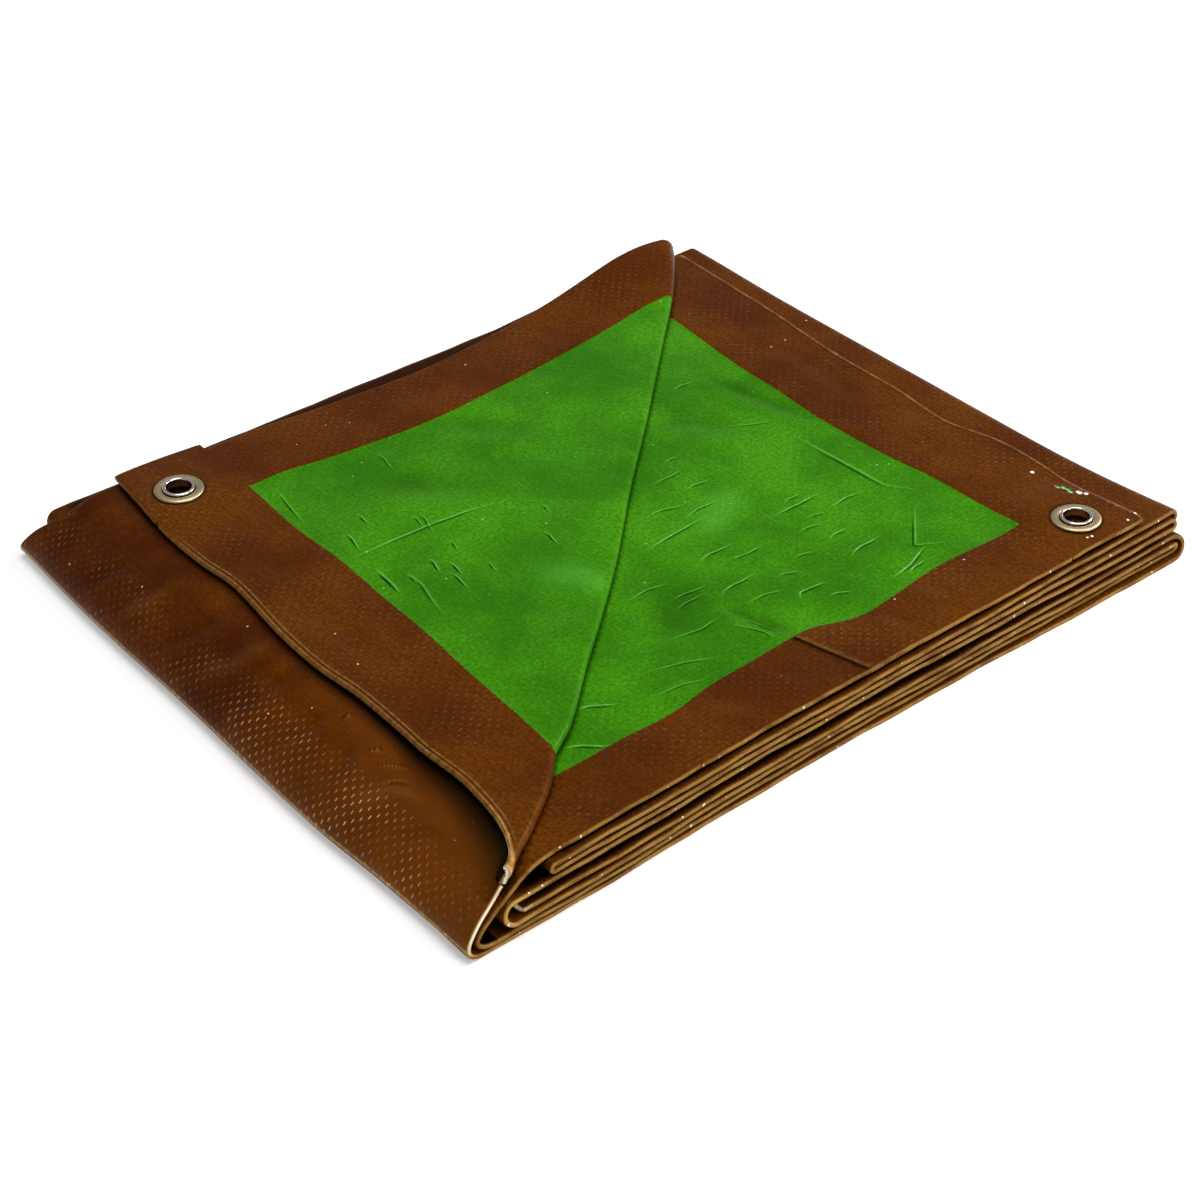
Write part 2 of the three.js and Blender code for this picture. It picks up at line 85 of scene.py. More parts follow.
# The turns that join the leaves, and where the middle of each lies along X.
Turn = namedtuple("Turn", "start into centre")
INNER_TURNS = [
    Turn(1, 2, 189.0),
    Turn(2, 5, -175.0),
    Turn(5, 6, 187.6),
    Turn(6, 7, -155.0),
    Turn(7, 4, 187.6),
]
OUTER_TURNS = [Turn(4, 3, -170.5), Turn(3, 0, 189.0)]


def lerp(a, b, share):
    return a + (b - a) * share


def smoothstep(value, low, high):
    share = np.clip((value - low) / (high - low), 0, 1)
    return share * share * (3 - 2 * share)


def bell(value, middle, width):
    """1 where a value is at the middle, falling away softly to both sides."""
    return np.exp(-(((value - middle) / width) ** 2))


def stacked(*columns):
    """Points from their columns, where a single number stands for a whole column."""
    return np.stack(np.broadcast_arrays(*columns), -1)


def everywhere(u, v):
    return np.full(np.shape(u), True)


def crossing(function, low, high):
    """Where a function changes sign between two values."""
    sign = function(low) > 0
    for _ in range(40):
        middle = (low + high) / 2
        if (function(middle) > 0) == sign:
            low = middle
        else:
            high = middle
    return (low + high) / 2


def lengths_along(path):
    """How far along a path each of its points lies."""
    return np.concatenate([[0], np.cumsum(np.linalg.norm(np.diff(path, axis=0), axis=-1))])


class Curve:
    """A smooth line through a short table: each row is a place and the value there."""

    def __init__(self, *rows):
        self.at, self.value = np.array(rows, float).T

    def __call__(self, at):
        at = np.clip(at, self.at[0], self.at[-1])
        last = len(self.at) - 1
        a = np.clip(np.searchsorted(self.at, at, side="right") - 1, 0, last - 1)
        b = a + 1
        before, after = np.maximum(a - 1, 0), np.minimum(a + 2, last)
        span = self.at[b] - self.at[a]
        t = (at - self.at[a]) / span
        slope_a = (self.value[b] - self.value[before]) / (self.at[b] - self.at[before]) * span
        slope_b = (self.value[after] - self.value[a]) / (self.at[after] - self.at[a]) * span
        return (
            (2 * t**3 - 3 * t**2 + 1) * self.value[a]
            + (t**3 - 2 * t**2 + t) * slope_a
            + (3 * t**2 - 2 * t**3) * self.value[b]
            + (t**3 - t**2) * slope_b
        )


# The middle of the sheet where it wraps the left end: x and z, from the surface up.
INNER_WRAP = [
    (-184.0, 3.65), (-189.3, 4.1), (-192.0, 6.0), (-191.7, 8.2), (-188.7, 11.3), (-182.5, 15.2),
    (-175.5, 18.9), (-168.5, 22.6), (-161.0, 24.8), (-152.0, 25.0),
]
OUTER_WRAP = [
    (-186.0, 0.85), (-192.5, 1.3), (-196.0, 3.4), (-196.6, 6.2), (-194.9, 9.5), (-190.5, 14.0),
    (-184.0, 18.3), (-177.5, 22.0),
]
EDGE_HOLD = 3  # how long the outer wrap keeps the bottom leaf's edges as it climbs
INNER_SLOPE = Curve(*INNER_WRAP[5:])  # x, z of the top leaf where it comes down to the wrap
PANEL_RISE = Curve((-177.5, 22.0), (-170.5, 25.9), (-163.0, 27.6), (-155.0, 27.8))  # x, z
LEFT_END = Curve((-165, 0.9), (-110, 0.0), (-65, -2.2), (20, -0.7), (95, -0.5), (166, 2.2))  # y, shift
RIGHT_END_FRONT, RIGHT_END_BACK = 4.4, 2.0  # how far the right end stands out at the front and back

# Outlines and hem edges that show. The first column is y and the second x, or the other way round.
FOLD_LINE = Curve(
    (-158.5, -171.3), (-143, -148.6), (-131, -132.8), (-119, -120.3), (-108.5, -104.3),
    (-84, -76.2), (-65, -53.4), (-38, -22.4), (0, 17.5), (37, 58.4), (73, 96.9), (93, 118.4),
    (113, 139.9), (137.5, 162.7), (158, 178.5),
)  # y, x
FLAP_LEFT = Curve(
    (-159.5, -174.3), (-152, -168.6), (-141, -163.6), (-128, -160.4), (-110, -158.4), (-86, -159.5),
    (-72, -159.0), (-43, -158.9), (-20, -161.0), (7, -160.6), (30, -158.2), (51, -156.6),
    (72, -158.5), (102, -158.4), (125, -156.0), (152, -152.6),
)  # y, x
FLAP_BACK = Curve(
    (-112, 144.0), (-98, 143.4), (-79, 143.6), (-58, 141.2), (-26, 138.6), (6, 137.6), (26, 139.1),
    (54, 142.6), (89, 147.2), (108, 149.8), (137, 153.4), (158, 154.6), (178, 153.4),
)  # x, y
CORNER_BACK = Curve((-158, 150.4), (-150, 151.0), (-130, 150.4), (-110, 149.2))  # x, y
NOTCH_X = -110.0
TOP_RIGHT = Curve(
    (-158, 175.6), (-151, 177.0), (-124, 174.0), (-95, 176.5), (-72, 176.2), (-45, 169.9),
    (-12, 172.2), (28, 172.8), (77, 176.7), (117, 179.0), (151, 180.6),
)  # y, x
FLAP_HEM_LEFT = Curve(
    (-121, -120.5), (-99, -118.6), (-79, -117.7), (-56, -116.5), (-27, -114.3), (3, -113.6),
    (35, -112.2), (66, -113.3), (106, -111.2), (160, -111.0),
)  # y, x
FLAP_HEM_BACK = Curve(
    (-170, 106.2), (-111, 106.2), (-93, 106.5), (-75, 103.6), (-52, 100.8), (-30, 99.0), (-8, 99.0),
    (21, 101.4), (59, 105.2), (98, 110.6), (127, 115.2), (180, 116.0),
)  # x, y
TOP_HEM_RIGHT = Curve(
    (-165, 132.8), (-120, 132.4), (-102, 131.3), (-74, 130.6), (-51, 127.9), (-8, 125.8),
    (25, 128.1), (49, 128.6), (82, 131.6), (106, 133.7), (160, 134.5),
)  # y, x
TOP_HEM_FRONT = Curve(
    (-190, -126.0), (-124, -125.6), (-93, -124.7), (-69, -125.5), (-46, -122.1), (-20, -120.7),
    (4, -119.5), (13, -120.0), (33, -126.9), (53, -126.0), (84, -122.8), (120, -124.3),
    (190, -124.5),
)  # x, y

# The flap stands off the pack near its back tip.
TIP_X, TIP_Y, TIP_SPREAD_X, TIP_SPREAD_Y, TIP_HEIGHT = 150.0, 156.0, 48.0, 30.0, 7.2
# The brown panel sags under the flap's free edge, near the front.
SAG_Y, SAG_SPREAD, SAG_DEPTH = -112.0, 48.0, 1.7

Eyelet = namedtuple("Eyelet", "side x y leaf height")
EYELETS = [
    Eyelet("right", 152.5, -138.3, TOP, 26.8),
    Eyelet("left", -137.2, 121.6, FLAP, 31.9),
]
EYELET_FLAT = (13.0, 36.0)  # the cloth is level within the first distance, and free past the second
CLOTH_HOLE = 6.9

# The frame gives the eyelet's place, and so where the tables' own origin lies.
low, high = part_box("eyelet_right")
middle = (low + high) / 2 / MM
SHIFT = np.array([middle.x - EYELETS[0].x, middle.y - EYELETS[0].y, 0])


def place_in_frame(points):
    return (np.asarray(points, float) + SHIFT) * MM


def waves(seed, along):
    """A gentle unevenness, between about -1 and 1, that differs for each seed."""
    lengths = (17.0, 37.0, 83.0)
    shares = (0.22, 0.38, 0.4)
    return sum(
        share * np.sin(2 * math.pi * along / length + 2.4 * seed + 1.7 * k * seed + k)
        for k, (length, share) in enumerate(zip(lengths, shares))
    )


def swollen(height, y):
    return height * (1 + FRONT_SWELL * smoothstep(-y, 120, 160))


def panel_height(x, y):
    sag = SAG_DEPTH * bell(y, SAG_Y, SAG_SPREAD)
    window = smoothstep(x, -177.5, -169) * (1 - smoothstep(x, -164, -150))
    return PANEL_RISE(x) - sag * window


def flap_height(x, y):
    height = LEAVES[FLAP].height
    rise = TIP_HEIGHT * bell(x, TIP_X, TIP_SPREAD_X) * bell(y, TIP_Y, TIP_SPREAD_Y)
    over_panel = np.maximum(PANEL_RISE(x) + height - LEAVES[PANEL].height, FLAP_TIP_LOW)
    return lerp(height + rise, over_panel, smoothstep(-y, 136, 158))


def middle_height(leaf, x, y):
    """The height of the middle of a leaf: an eyelet holds the cloth level around it."""
    if leaf == FLAP:
        free = flap_height(x, y)
    elif leaf == TOP:
        free = np.where(x < INNER_WRAP[-1][0], INNER_SLOPE(x), LEAVES[TOP].height)
    else:
        free = LEAVES[leaf].height + 0 * x
    free = swollen(free, y)
    for eyelet in EYELETS:
        if eyelet.leaf == leaf:
            away = np.hypot(x - eyelet.x, y - eyelet.y)
            free = lerp(eyelet.height, free, smoothstep(away, *EYELET_FLAT))
    return free


def front_edge(leaf, x):
    one = LEAVES[leaf]
    to_left = lerp(one.front_middle, one.front_left, smoothstep(-x, 20, 165))
    to_right = lerp(one.front_middle, one.front_right, smoothstep(x, 20, 185))
    return np.where(x < 0, to_left, to_right) + FRONT_WAVES * waves(leaf, x)


def back_edge(leaf, x):
    one = LEAVES[leaf]
    return lerp(one.back_left, one.back_right, smoothstep(x, 30, 185)) + BACK_WAVES * waves(leaf + 0.5, x)


# A step of the sheet's route: place gives x and z at a depth y. Its edges are those of two leaves, mixed.
Step = namedtuple("Step", "place start into share")


LEAF_WAVES = 0.28  # how far a leaf lifts and dips near its front edge


def leaf_run(leaf, start, end, steps):
    """Steps along a leaf from start(y) to end(y), without its ends."""

    def step(share):
        def place(y):
            x = lerp(start(y), end(y), share)
            uneven = smoothstep(-y, 60, 150) * smoothstep(190 - abs(x), 8, 60)
            return x, middle_height(leaf, x, y) + LEAF_WAVES * waves(leaf + 3.3, x) * uneven

        return Step(place, leaf, leaf, 0)

    return [step(i / steps) for i in range(1, steps)]


def left_shift(x, y):
    """How far the left end's unevenness moves a place along X."""
    return LEFT_END(y) * smoothstep(-x, 165, 190)


def uneven_end(centre, y):
    at_front, at_back = smoothstep(-y, 80, 165), smoothstep(y, 80, 160)
    if centre > 0:
        return RIGHT_END_FRONT * at_front + RIGHT_END_BACK * at_back
    return -1.2 * at_back if centre < -160 else 0 * y


def turn_run(turn, steps=12):
    low_z, high_z = LEAVES[turn.start].height, LEAVES[turn.into].height
    radius = (high_z - low_z) / 2
    outward = math.copysign(1, turn.centre)
    reach = abs(radius) * (TURN_LENGTH if turn.centre > 0 else 1)

    def step(share):
        angle = math.pi * share

        def place(y):
            square = math.sin(angle) ** (0.75 if turn.centre > 0 else 1)
            x = turn.centre + uneven_end(turn.centre, y) + outward * reach * square
            return x, swollen((low_z + high_z) / 2 - radius * math.cos(angle), y)

        return Step(place, turn.start, turn.into, share)

    return [step(i / steps) for i in range(steps + 1)]


def wrap_run(points, start, into, hold, finer=4):
    """Steps along a wrap's line, with each stretch between its points shared smoothly."""
    marks = np.arange(len(points))
    line_x = Curve(*zip(marks, [x for x, _ in points]))
    line_z = Curve(*zip(marks, [z for _, z in points]))

    def step(mark):
        x0, z0 = float(line_x(mark)), float(line_z(mark))

        def place(y):
            return x0 + left_shift(x0, y), swollen(z0 + 0 * y, y)

        return Step(place, start, into, (mark / marks[-1]) ** hold)

    return [step(mark) for mark in np.linspace(0, marks[-1], marks[-1] * finer + 1)]


def run_between(leaf, before, after, steps=40):
    """The steps of a leaf between the last step before it and the first step after it."""
    return leaf_run(leaf, lambda y: before.place(y)[0], lambda y: after.place(y)[0], steps)


def fold_frame(y):
    """The diagonal fold at a depth y: the direction across it, and half the height it turns through."""
    slope = FOLD_LINE(y + 0.5) - FOLD_LINE(y - 0.5)
    across = stacked(np.ones_like(slope), -slope) / np.hypot(1, slope)[..., None]
    x = FOLD_LINE(y) - 2
    radius = (flap_height(x, y) - PANEL_RISE(x)) / 2
    return across, radius


def fold_base(y):
    """Where the flap's level part ends and its fold begins, at a depth y."""
    across, radius = fold_frame(y)
    return FOLD_LINE(y) - (radius + CLOTH / 2) / across[..., 0]


PANEL_TUCK = 4.0  # the flap's piece goes this far past its fold, and the panel's piece begins there


def panel_run(steps=84):
    start = OUTER_WRAP[-1][0]

    def step(share):
        def place(y):
            across, _ = fold_frame(y)
            end = fold_base(y) - (PANEL_TUCK + 0.2) / across[..., 0]
            x = lerp(start, np.maximum(end, start + 0.5), 0.22 * share + 0.78 * share**6)
            return x + left_shift(x, y), swollen(panel_height(x, y), y)

        return Step(place, PANEL, PANEL, 0)

    return [step(i / steps) for i in range(1, steps + 1)]


def unit(vectors):
    return vectors / np.maximum(np.linalg.norm(vectors, axis=-1, keepdims=True), 1e-12)


FRONT_HEM, BACK_HEM = 40, 45  # the hems' widths inside the folds
RIM_TURNS = 11
RIM_ANGLES = [math.pi * k / (RIM_TURNS + 1) for k in range(1, RIM_TURNS + 1)]


def rim_reach(angle):
    """How far a rounded rim stands out at an angle: its middle is pinched between its plies."""
    return math.sin(angle) - 0.3 * bell(angle, math.pi / 2, 0.22)


HIDDEN_COLUMNS, WRAP_COLUMNS = 28, 230


def edge_columns(count, crowd=2.2):
    """Shares from the front edge to the back one, closer together near both."""
    line = np.linspace(-1, 1, count)
    bent = np.sign(line) * (1 - (1 - np.abs(line)) ** crowd)
    return (bent + 1) / 2


def make_mesh(name, points, faces, places, marks, materials, slots):
    """A piece from its points in the frame's metres.

    places is each point's place on the flat cloth, and marks its other values, such as how pale its edges
    are painted, as highlight mixed with wear, and how dark, as painted shade.
    """
    mesh = bpy.data.meshes.new(name)
    mesh.from_pydata([tuple(p) for p in points], [], faces)
    mesh.validate()
    layer = mesh.uv_layers.new(name="cloth_place")
    corner_points = np.zeros(len(mesh.loops), np.int32)
    mesh.loops.foreach_get("vertex_index", corner_points)
    layer.uv.foreach_set("vector", np.asarray(places, np.float32)[corner_points].ravel())
    for key, values in marks.items():
        layer = mesh.attributes.new(key, "FLOAT", "POINT")
        layer.data.foreach_set("value", np.asarray(values, np.float32))
    for material in materials:
        mesh.materials.append(material)
    mesh.polygons.foreach_set("material_index", np.asarray(slots, np.int32))
    mesh.polygons.foreach_set("use_smooth", np.full(len(mesh.polygons), True))
    mesh.set_sharp_from_angle(angle=math.radians(48))
    piece = bpy.data.objects.new(name, mesh)
    bpy.context.scene.collection.objects.link(piece)
    return piece


def rim_marks(angle, up):
    """How pale and how dark a rounded edge is painted, from its angle and from how far it faces up: a
    painted highlight mixed with wear on its outer, upward part, and painted shade on its flanks.
    """
    out = math.sin(angle)
    highlight_and_wear = out**1.5 * (0.62 + 0.38 * up)
    return highlight_and_wear, (1 - min(out / 0.62, 1)) ** 1.3


def step_edge(step, edge, y):
    """Where a step's front or back edge lies. y is about there."""
    x = step.place(np.array([y]))[0]
    return lerp(edge(step.start, x), edge(step.into, x), step.share)


def sheet_faces(points, last, hem_front, hem_back):
    """The faces of a folded sheet, and 1 for each that shows the green cloth inside its hems."""
    rows, around = points.shape[:2]
    green_first, green_last = last + 1 + RIM_TURNS, 2 * last + 1 + RIM_TURNS

    def corner(i, j):
        return i * around + j % around

    faces, slots = [], []
    for i in range(rows - 1):
        for j in range(around):
            faces.append((corner(i, j), corner(i + 1, j), corner(i + 1, j + 1), corner(i, j + 1)))
            on_green = green_first <= j < green_last
            slots.append(int(on_green and hem_front[i] < points[i, j, 1] < hem_back[i]))
    for i, turned in ((0, 1), (rows - 1, -1)):
        end = [(j, j + 1, green_last - j - 1, green_last - j) for j in range(last)]
        end += [range(last, green_first + 1), range(green_last, around + 1)]
        faces += [tuple(corner(i, j) for j in face)[::turned] for face in end]
        slots += [0] * len(end)
    return faces, slots


def folded_sheet(name, steps, columns, materials, hidden=None, relief=None, light_and_shade=None, bright=None):
    """A thick sheet along a route of steps, with rounded edges at the front and the back.

    hidden(step) is 1 where both faces of the sheet lie out of sight, and there they are painted dark near
    its edges, as the shade in the gaps between the leaves. relief lifts its brown face, light_and_shade is
    how pale, as a painted highlight, or how dark, as painted shade, its creases are, and bright is how much
    paler its front edge is painted at a place, as a highlight.
    """
    middle = []
    for step in steps:
        front = step_edge(step, front_edge, -158.0) + RIM_THICKNESS / 2
        back = step_edge(step, back_edge, 150.0) - CLOTH / 2
        y = lerp(front, back, columns)
        x, z = step.place(y)
        middle.append(stacked(x, y, z))
    middle = np.array(middle)
    y = middle[..., 1]
    last = len(columns) - 1
    half = lerp(CLOTH, RIM_THICKNESS, smoothstep(-y, 142, 158)) / 2
    route, depth = np.gradient(middle, axis=0), np.gradient(middle, axis=1)
    normal = unit(np.cross(route, depth))
    length = lengths_along(middle[:, last // 2])[:, None] + 0 * y
    lift = relief(length, y) if relief else 0 * y
    brown = middle + normal * (half + lift)[..., None]
    green = middle - normal * half[..., None]

    def rim(column, outward, angle):
        out = unit(depth[:, column]) * outward * rim_reach(angle)
        return middle[:, column] + half[:, column, None] * (normal[:, column] * math.cos(angle) + out)

    loop = [brown[:, j] for j in range(last + 1)]
    loop += [rim(last, 1, angle) for angle in RIM_ANGLES]
    loop += [green[:, j] for j in range(last, -1, -1)]
    loop += [rim(0, -1, angle) for angle in reversed(RIM_ANGLES)]
    points = np.stack(loop, 1)
    rows, around = points.shape[:2]

    places = stacked(length[:, :1], points[..., 1])
    places[:, last + 1 : last + 1 + RIM_TURNS, 1] += np.linspace(0, 2, RIM_TURNS)
    places[:, around - RIM_TURNS :, 1] -= np.linspace(2, 0, RIM_TURNS)

    # Painted shade: leaves out of sight are darkened near their edges, as the shade in the gaps between
    # them, except on top of the leaf that shows past the top leaf's right edge. pale is the front edge's
    # painted highlight.
    dark = np.array([hidden(step) if hidden else 0.0 for step in steps])
    pale = bright(middle[:, 0]) if bright else np.zeros(rows)
    away = np.minimum(points[..., 1] - y[:, :1], y[:, -1:] - points[..., 1])
    shades = dark[:, None] * smoothstep(away, 0.0, 1.2) * (1 - smoothstep(away, 8, 14))
    shades *= 1 - smoothstep(points[..., 0], 160, 172) * (points[..., 2] > LEAVES[TOP - 1].height)
    rims, creases = np.zeros((rows, around)), np.zeros((rows, around))
    # Each rounded edge: a painted highlight mixed with wear on its outer, upward part, made paler by bright
    # at the front, and painted shade on its flanks, in the gaps between leaves.
    for k, angle in enumerate(RIM_ANGLES):
        for column, place in ((last, last + 1 + k), (0, around - 1 - k)):
            highlight_and_wear, shade = rim_marks(angle, normal[:, column, 2] * math.cos(angle))
            rims[:, place] = highlight_and_wear * (1 + (pale if column == 0 else 0))
            shades[:, place] = shade
    if light_and_shade:
        creases[:, : last + 1] = light_and_shade(length, y)
    faces, slots = sheet_faces(points, last, y[:, 0] + FRONT_HEM, y[:, -1] - BACK_HEM)
    marks = {"rim": rims.ravel(), "shade": shades.ravel(), "crease": creases.ravel()}
    points = place_in_frame(points.reshape(-1, 3))
    return make_mesh(name, points, faces, places.reshape(-1, 2) * MM, marks, materials, slots)


def hex_points(low, high, spacing, keep):
    """Points in staggered rows over a box, where keep holds."""
    rows = []
    for k, v in enumerate(np.arange(low[1], high[1], spacing * 0.87)):
        u = np.arange(low[0] + spacing / 2 * (k % 2), high[0], spacing)
        rows.append(stacked(u, v))
    points = np.concatenate(rows)
    return points[keep(points[:, 0], points[:, 1])]


def nearest(marks, points):
    """The distance from each point to the nearest mark."""
    tree = KDTree(len(marks))
    for k, mark in enumerate(marks):
        tree.insert((mark[0], mark[1], 0), k)
    tree.balance()
    return np.array([tree.find((u, v, 0))[2] for u, v in points])


def evenly(path, spacing):
    """Points along a path, at even distances."""
    path = np.asarray(path, float)
    along = lengths_along(path)
    at = np.linspace(0, along[-1], max(round(along[-1] / spacing), 1) + 1)
    return stacked(np.interp(at, along, path[:, 0]), np.interp(at, along, path[:, 1]))


def beside(path, offset):
    """The line that runs beside a path at an offset to its left."""
    ahead = np.gradient(path, axis=0)
    ahead /= np.linalg.norm(ahead, axis=1, keepdims=True)
    return path + stacked(-ahead[:, 1], ahead[:, 0]) * offset


Crease = namedtuple("Crease", "height width path")
FINE_CREASE = 3.0  # a crease narrower than this shows as a line


def bent(path):
    """A crease's path, with a slight bend where it has only its two ends."""
    path = np.array(path, float)
    if len(path) > 2:
        return path
    share = np.linspace(0, 1, 6)[:, None]
    across = np.array([path[0, 1] - path[1, 1], path[1, 0] - path[0, 0]])
    bow = 0.05 * np.sin(math.pi * share) + 0.035 * np.sin(2 * math.pi * share)
    return lerp(path[0], path[1], share) + across * bow


def crease_lines(creases, x, y):
    """For each crease: itself, and how strongly a place lies on its line and next to it."""
    for crease in creases:
        path = bent(crease.path)
        pieces = np.linalg.norm(np.diff(path, axis=0), axis=1)
        length = pieces.sum()
        best = np.full(x.shape, 1e9)
        side = np.zeros_like(x)
        share = np.zeros_like(x)
        start = 0.0
        for (ax, ay), (bx, by), piece in zip(path[:-1], path[1:], pieces):
            ux, uy = (bx - ax) / piece, (by - ay) / piece
            along = np.clip((x - ax) * ux + (y - ay) * uy, 0, piece)
            away = np.hypot(x - ax - along * ux, y - ay - along * uy)
            closer = away < best
            best = np.where(closer, away, best)
            side = np.where(closer, (x - ax) * -uy + (y - ay) * ux, side)
            share = np.where(closer, (start + along) / length, share)
            start += piece
        ends = smoothstep(share, 0, 0.35) * (1 - smoothstep(share, 0.65, 1))
        size = crease.width * (0.38 if crease.width < FINE_CREASE else 1) * (0.7 + 0.3 * ends)
        on = bell(best, 0, size)
        next_to = bell(best, 2.1 * size, 1.1 * size) * (side < 0)
        middle = smoothstep(share, 0.15, 0.5) * (1 - smoothstep(share, 0.5, 0.95))
        yield crease, on * ends, next_to * (ends if crease.width > FINE_CREASE else middle)


def crease_relief(creases, x, y):
    """How far the creases lift the cloth: each has a ridge or a trough, with the other next to it."""
    total = np.zeros_like(x)
    for crease, on, next_to in crease_lines(creases, x, y):
        total += (0.6 if crease.width < FINE_CREASE else 1.4) * crease.height * (on - 0.6 * next_to)
    return total


def crease_light_and_shade(creases, x, y):
    """How much paler, as a painted highlight, or darker below 0, as painted shade, the fine creases are
    than the cloth.
    """
    total = np.zeros_like(x)
    for crease, on, next_to in crease_lines(creases, x, y):
        if crease.width < FINE_CREASE:
            total += 1.8 * crease.height * (1.15 * on - 2.0 * next_to)
        else:
            total += 0.45 * crease.height * on
    return np.clip(total, -1, 1)


CREASE_OFFSETS = (-1.6, -1.15, -0.76, -0.37, 0, 0.37, 0.85)


def crease_rows(creases):
    """Points in rows along each fine crease, so that the mesh can follow it."""
    rows = []
    for crease in creases:
        if crease.width < FINE_CREASE:
            path = evenly(bent(crease.path), 1.2)
            rows += [beside(path, offset * crease.width) for offset in CREASE_OFFSETS]
    return np.concatenate(rows)


def plate(name, outline, lines, free, place, relief, is_green, marks, materials, hole=None):
    """A thick leaf over an outline: lines are kept as edges, and free are the other points of its mesh.

    An outline point is a place on the flat cloth, with how pale its rounded edge is painted, as a highlight
    mixed with wear, or 0 where it is cut square.
    """
    loops = [np.array(outline, float)] + ([] if hole is None else [hole])
    flat, edges = [], []
    for loop in loops:
        start = len(flat)
        flat += [tuple(p[:2]) for p in loop]
        edges += [(start + k, start + (k + 1) % len(loop)) for k in range(len(loop))]
    for line in lines:
        start = len(flat)
        flat += [tuple(p) for p in line]
        edges += [(start + k, start + k + 1) for k in range(len(line) - 1)]
    free = free[nearest(np.array(flat), free) > 0.75]
    flat += [tuple(p) for p in free]
    result = delaunay_2d_cdt([Vector(p) for p in flat], edges, [], 1, 1e-4)
    uv = np.array([tuple(p) for p in result[0]])
    triangles = np.array([tuple(f) for f in result[2] if len(f) == 3])
    new_index = {source: k for k, sources in enumerate(result[3]) for source in sources}
    centres = uv[triangles].mean(1)
    if hole is not None:
        middle = hole[:, :2].mean(0)
        inside = np.hypot(*(centres - middle).T) < np.hypot(*(hole[0, :2] - middle)) * 0.999
        triangles, centres = triangles[~inside], centres[~inside]
    a, b, c = (uv[triangles[:, k]] for k in range(3))
    turned = (b[:, 0] - a[:, 0]) * (c[:, 1] - a[:, 1]) - (b[:, 1] - a[:, 1]) * (c[:, 0] - a[:, 0]) < 0
    triangles[turned] = triangles[turned][:, ::-1]

    u, v = uv.T
    step = 0.05
    middle_points = place(u, v)
    along_u = place(u + step, v) - place(u - step, v)
    along_v = place(u, v + step) - place(u, v - step)
    normal = unit(np.cross(along_u, along_v))
    top = middle_points + normal * (CLOTH / 2 + relief(u, v))[:, None]
    bottom = middle_points - normal * (CLOTH / 2)
    points, places = [top, bottom], [uv, uv]
    count = len(uv)
    faces = [tuple(t) for t in triangles] + [tuple(t[::-1] + count) for t in triangles]
    green = is_green(centres[:, 0], centres[:, 1])
    slots = [int(g) for g in green] + [0] * len(triangles)
    # marks gives the painted highlight mixed with wear, the painted shade, the creases' painted light and
    # shade, and the frayed threads. The underside is painted dark as shade, except under the palest edges.
    highlight_and_wear, shade, crease, thread = marks(u, v)
    pale = smoothstep(highlight_and_wear, 0.8, 1.3)
    rims, shades = [highlight_and_wear, highlight_and_wear * pale], [shade, 1 - pale]

    start = 2 * count
    offset = 0
    for loop in loops:
        order = np.array([new_index[offset + k] for k in range(len(loop))])
        offset += len(loop)
        above, below = top[order], bottom[order]
        centre, reach = (above + below) / 2, (above - below) / 2
        ahead = np.roll(middle_points[order], -1, 0) - np.roll(middle_points[order], 1, 0)
        outward = unit(np.cross(ahead, normal[order]))
        size = np.linalg.norm(reach, axis=-1, keepdims=True)
        edge_rows = [order]
        for angle in RIM_ANGLES:
            out = rim_reach(angle) * (loop[:, 2:3] > 0)
            points.append(centre + reach * math.cos(angle) + outward * size * out)
            places.append(uv[order] + outward[:, :2] * angle * 0.5)
            # Painted highlight mixed with wear on the rounded edge's upper part, and painted shade on its
            # lower half.
            highlight_and_wear, shade = rim_marks(angle, normal[order, 2] * math.cos(angle))
            rims.append(highlight_and_wear * loop[:, 2] * (1 + pale[order]))
            shades.append(shade * (angle > math.pi / 2) * (1 - pale[order]))
            edge_rows.append(np.arange(start, start + len(order)))
            start += len(order)
        edge_rows.append(order + count)
        for upper, lower in zip(edge_rows[:-1], edge_rows[1:]):
            faces += zip(upper, lower, np.roll(lower, -1), np.roll(upper, -1))
    slots += [0] * (len(faces) - len(slots))
    faces = [tuple(int(i) for i in face) for face in faces]
    marks = {"rim": np.concatenate(rims), "shade": np.concatenate(shades)}
    marks |= {"crease": np.pad(crease, (0, start - count)), "thread": np.pad(thread, (0, start - count))}
    points, places = place_in_frame(np.concatenate(points)), np.concatenate(places) * MM
    return make_mesh(name, points, faces, places, marks, materials, slots)


def outline_of(*sides):
    """An outline from its sides, in order. Each side is its points and how pale its edge is painted, as a
    highlight mixed with wear.
    """
    loop = []
    for points, highlight_and_wear in sides:
        for u, v in points:
            if not loop or math.hypot(u - loop[-1][0], v - loop[-1][1]) > 0.3:
                loop.append((u, v, float(highlight_and_wear)))
            elif highlight_and_wear == 0:
                loop[-1] = (*loop[-1][:2], 0.0)
    if math.hypot(loop[0][0] - loop[-1][0], loop[0][1] - loop[-1][1]) < 0.3:
        loop.pop()
    return loop


def side_along(u, v):
    return evenly(stacked(u, v), 2.0)


HALF = CLOTH / 2 + HEM_STEP / 2  # a hem's rounded edge stands out by this much


def fraying(at):
    """The slight unevenness of a hem's inner edge at a place along it."""
    return 0.22 * np.sin(at * 2.3) * np.sin(at * 0.61 + 1) + 0.13 * np.sin(at * 3.7 + 2)


def hem_step(beyond):
    """The height of a hem, from how far a place lies beyond the hem's inner edge."""
    return HEM_STEP * smoothstep(beyond, -HEM_STEP_WIDTH / 2, HEM_STEP_WIDTH / 2)


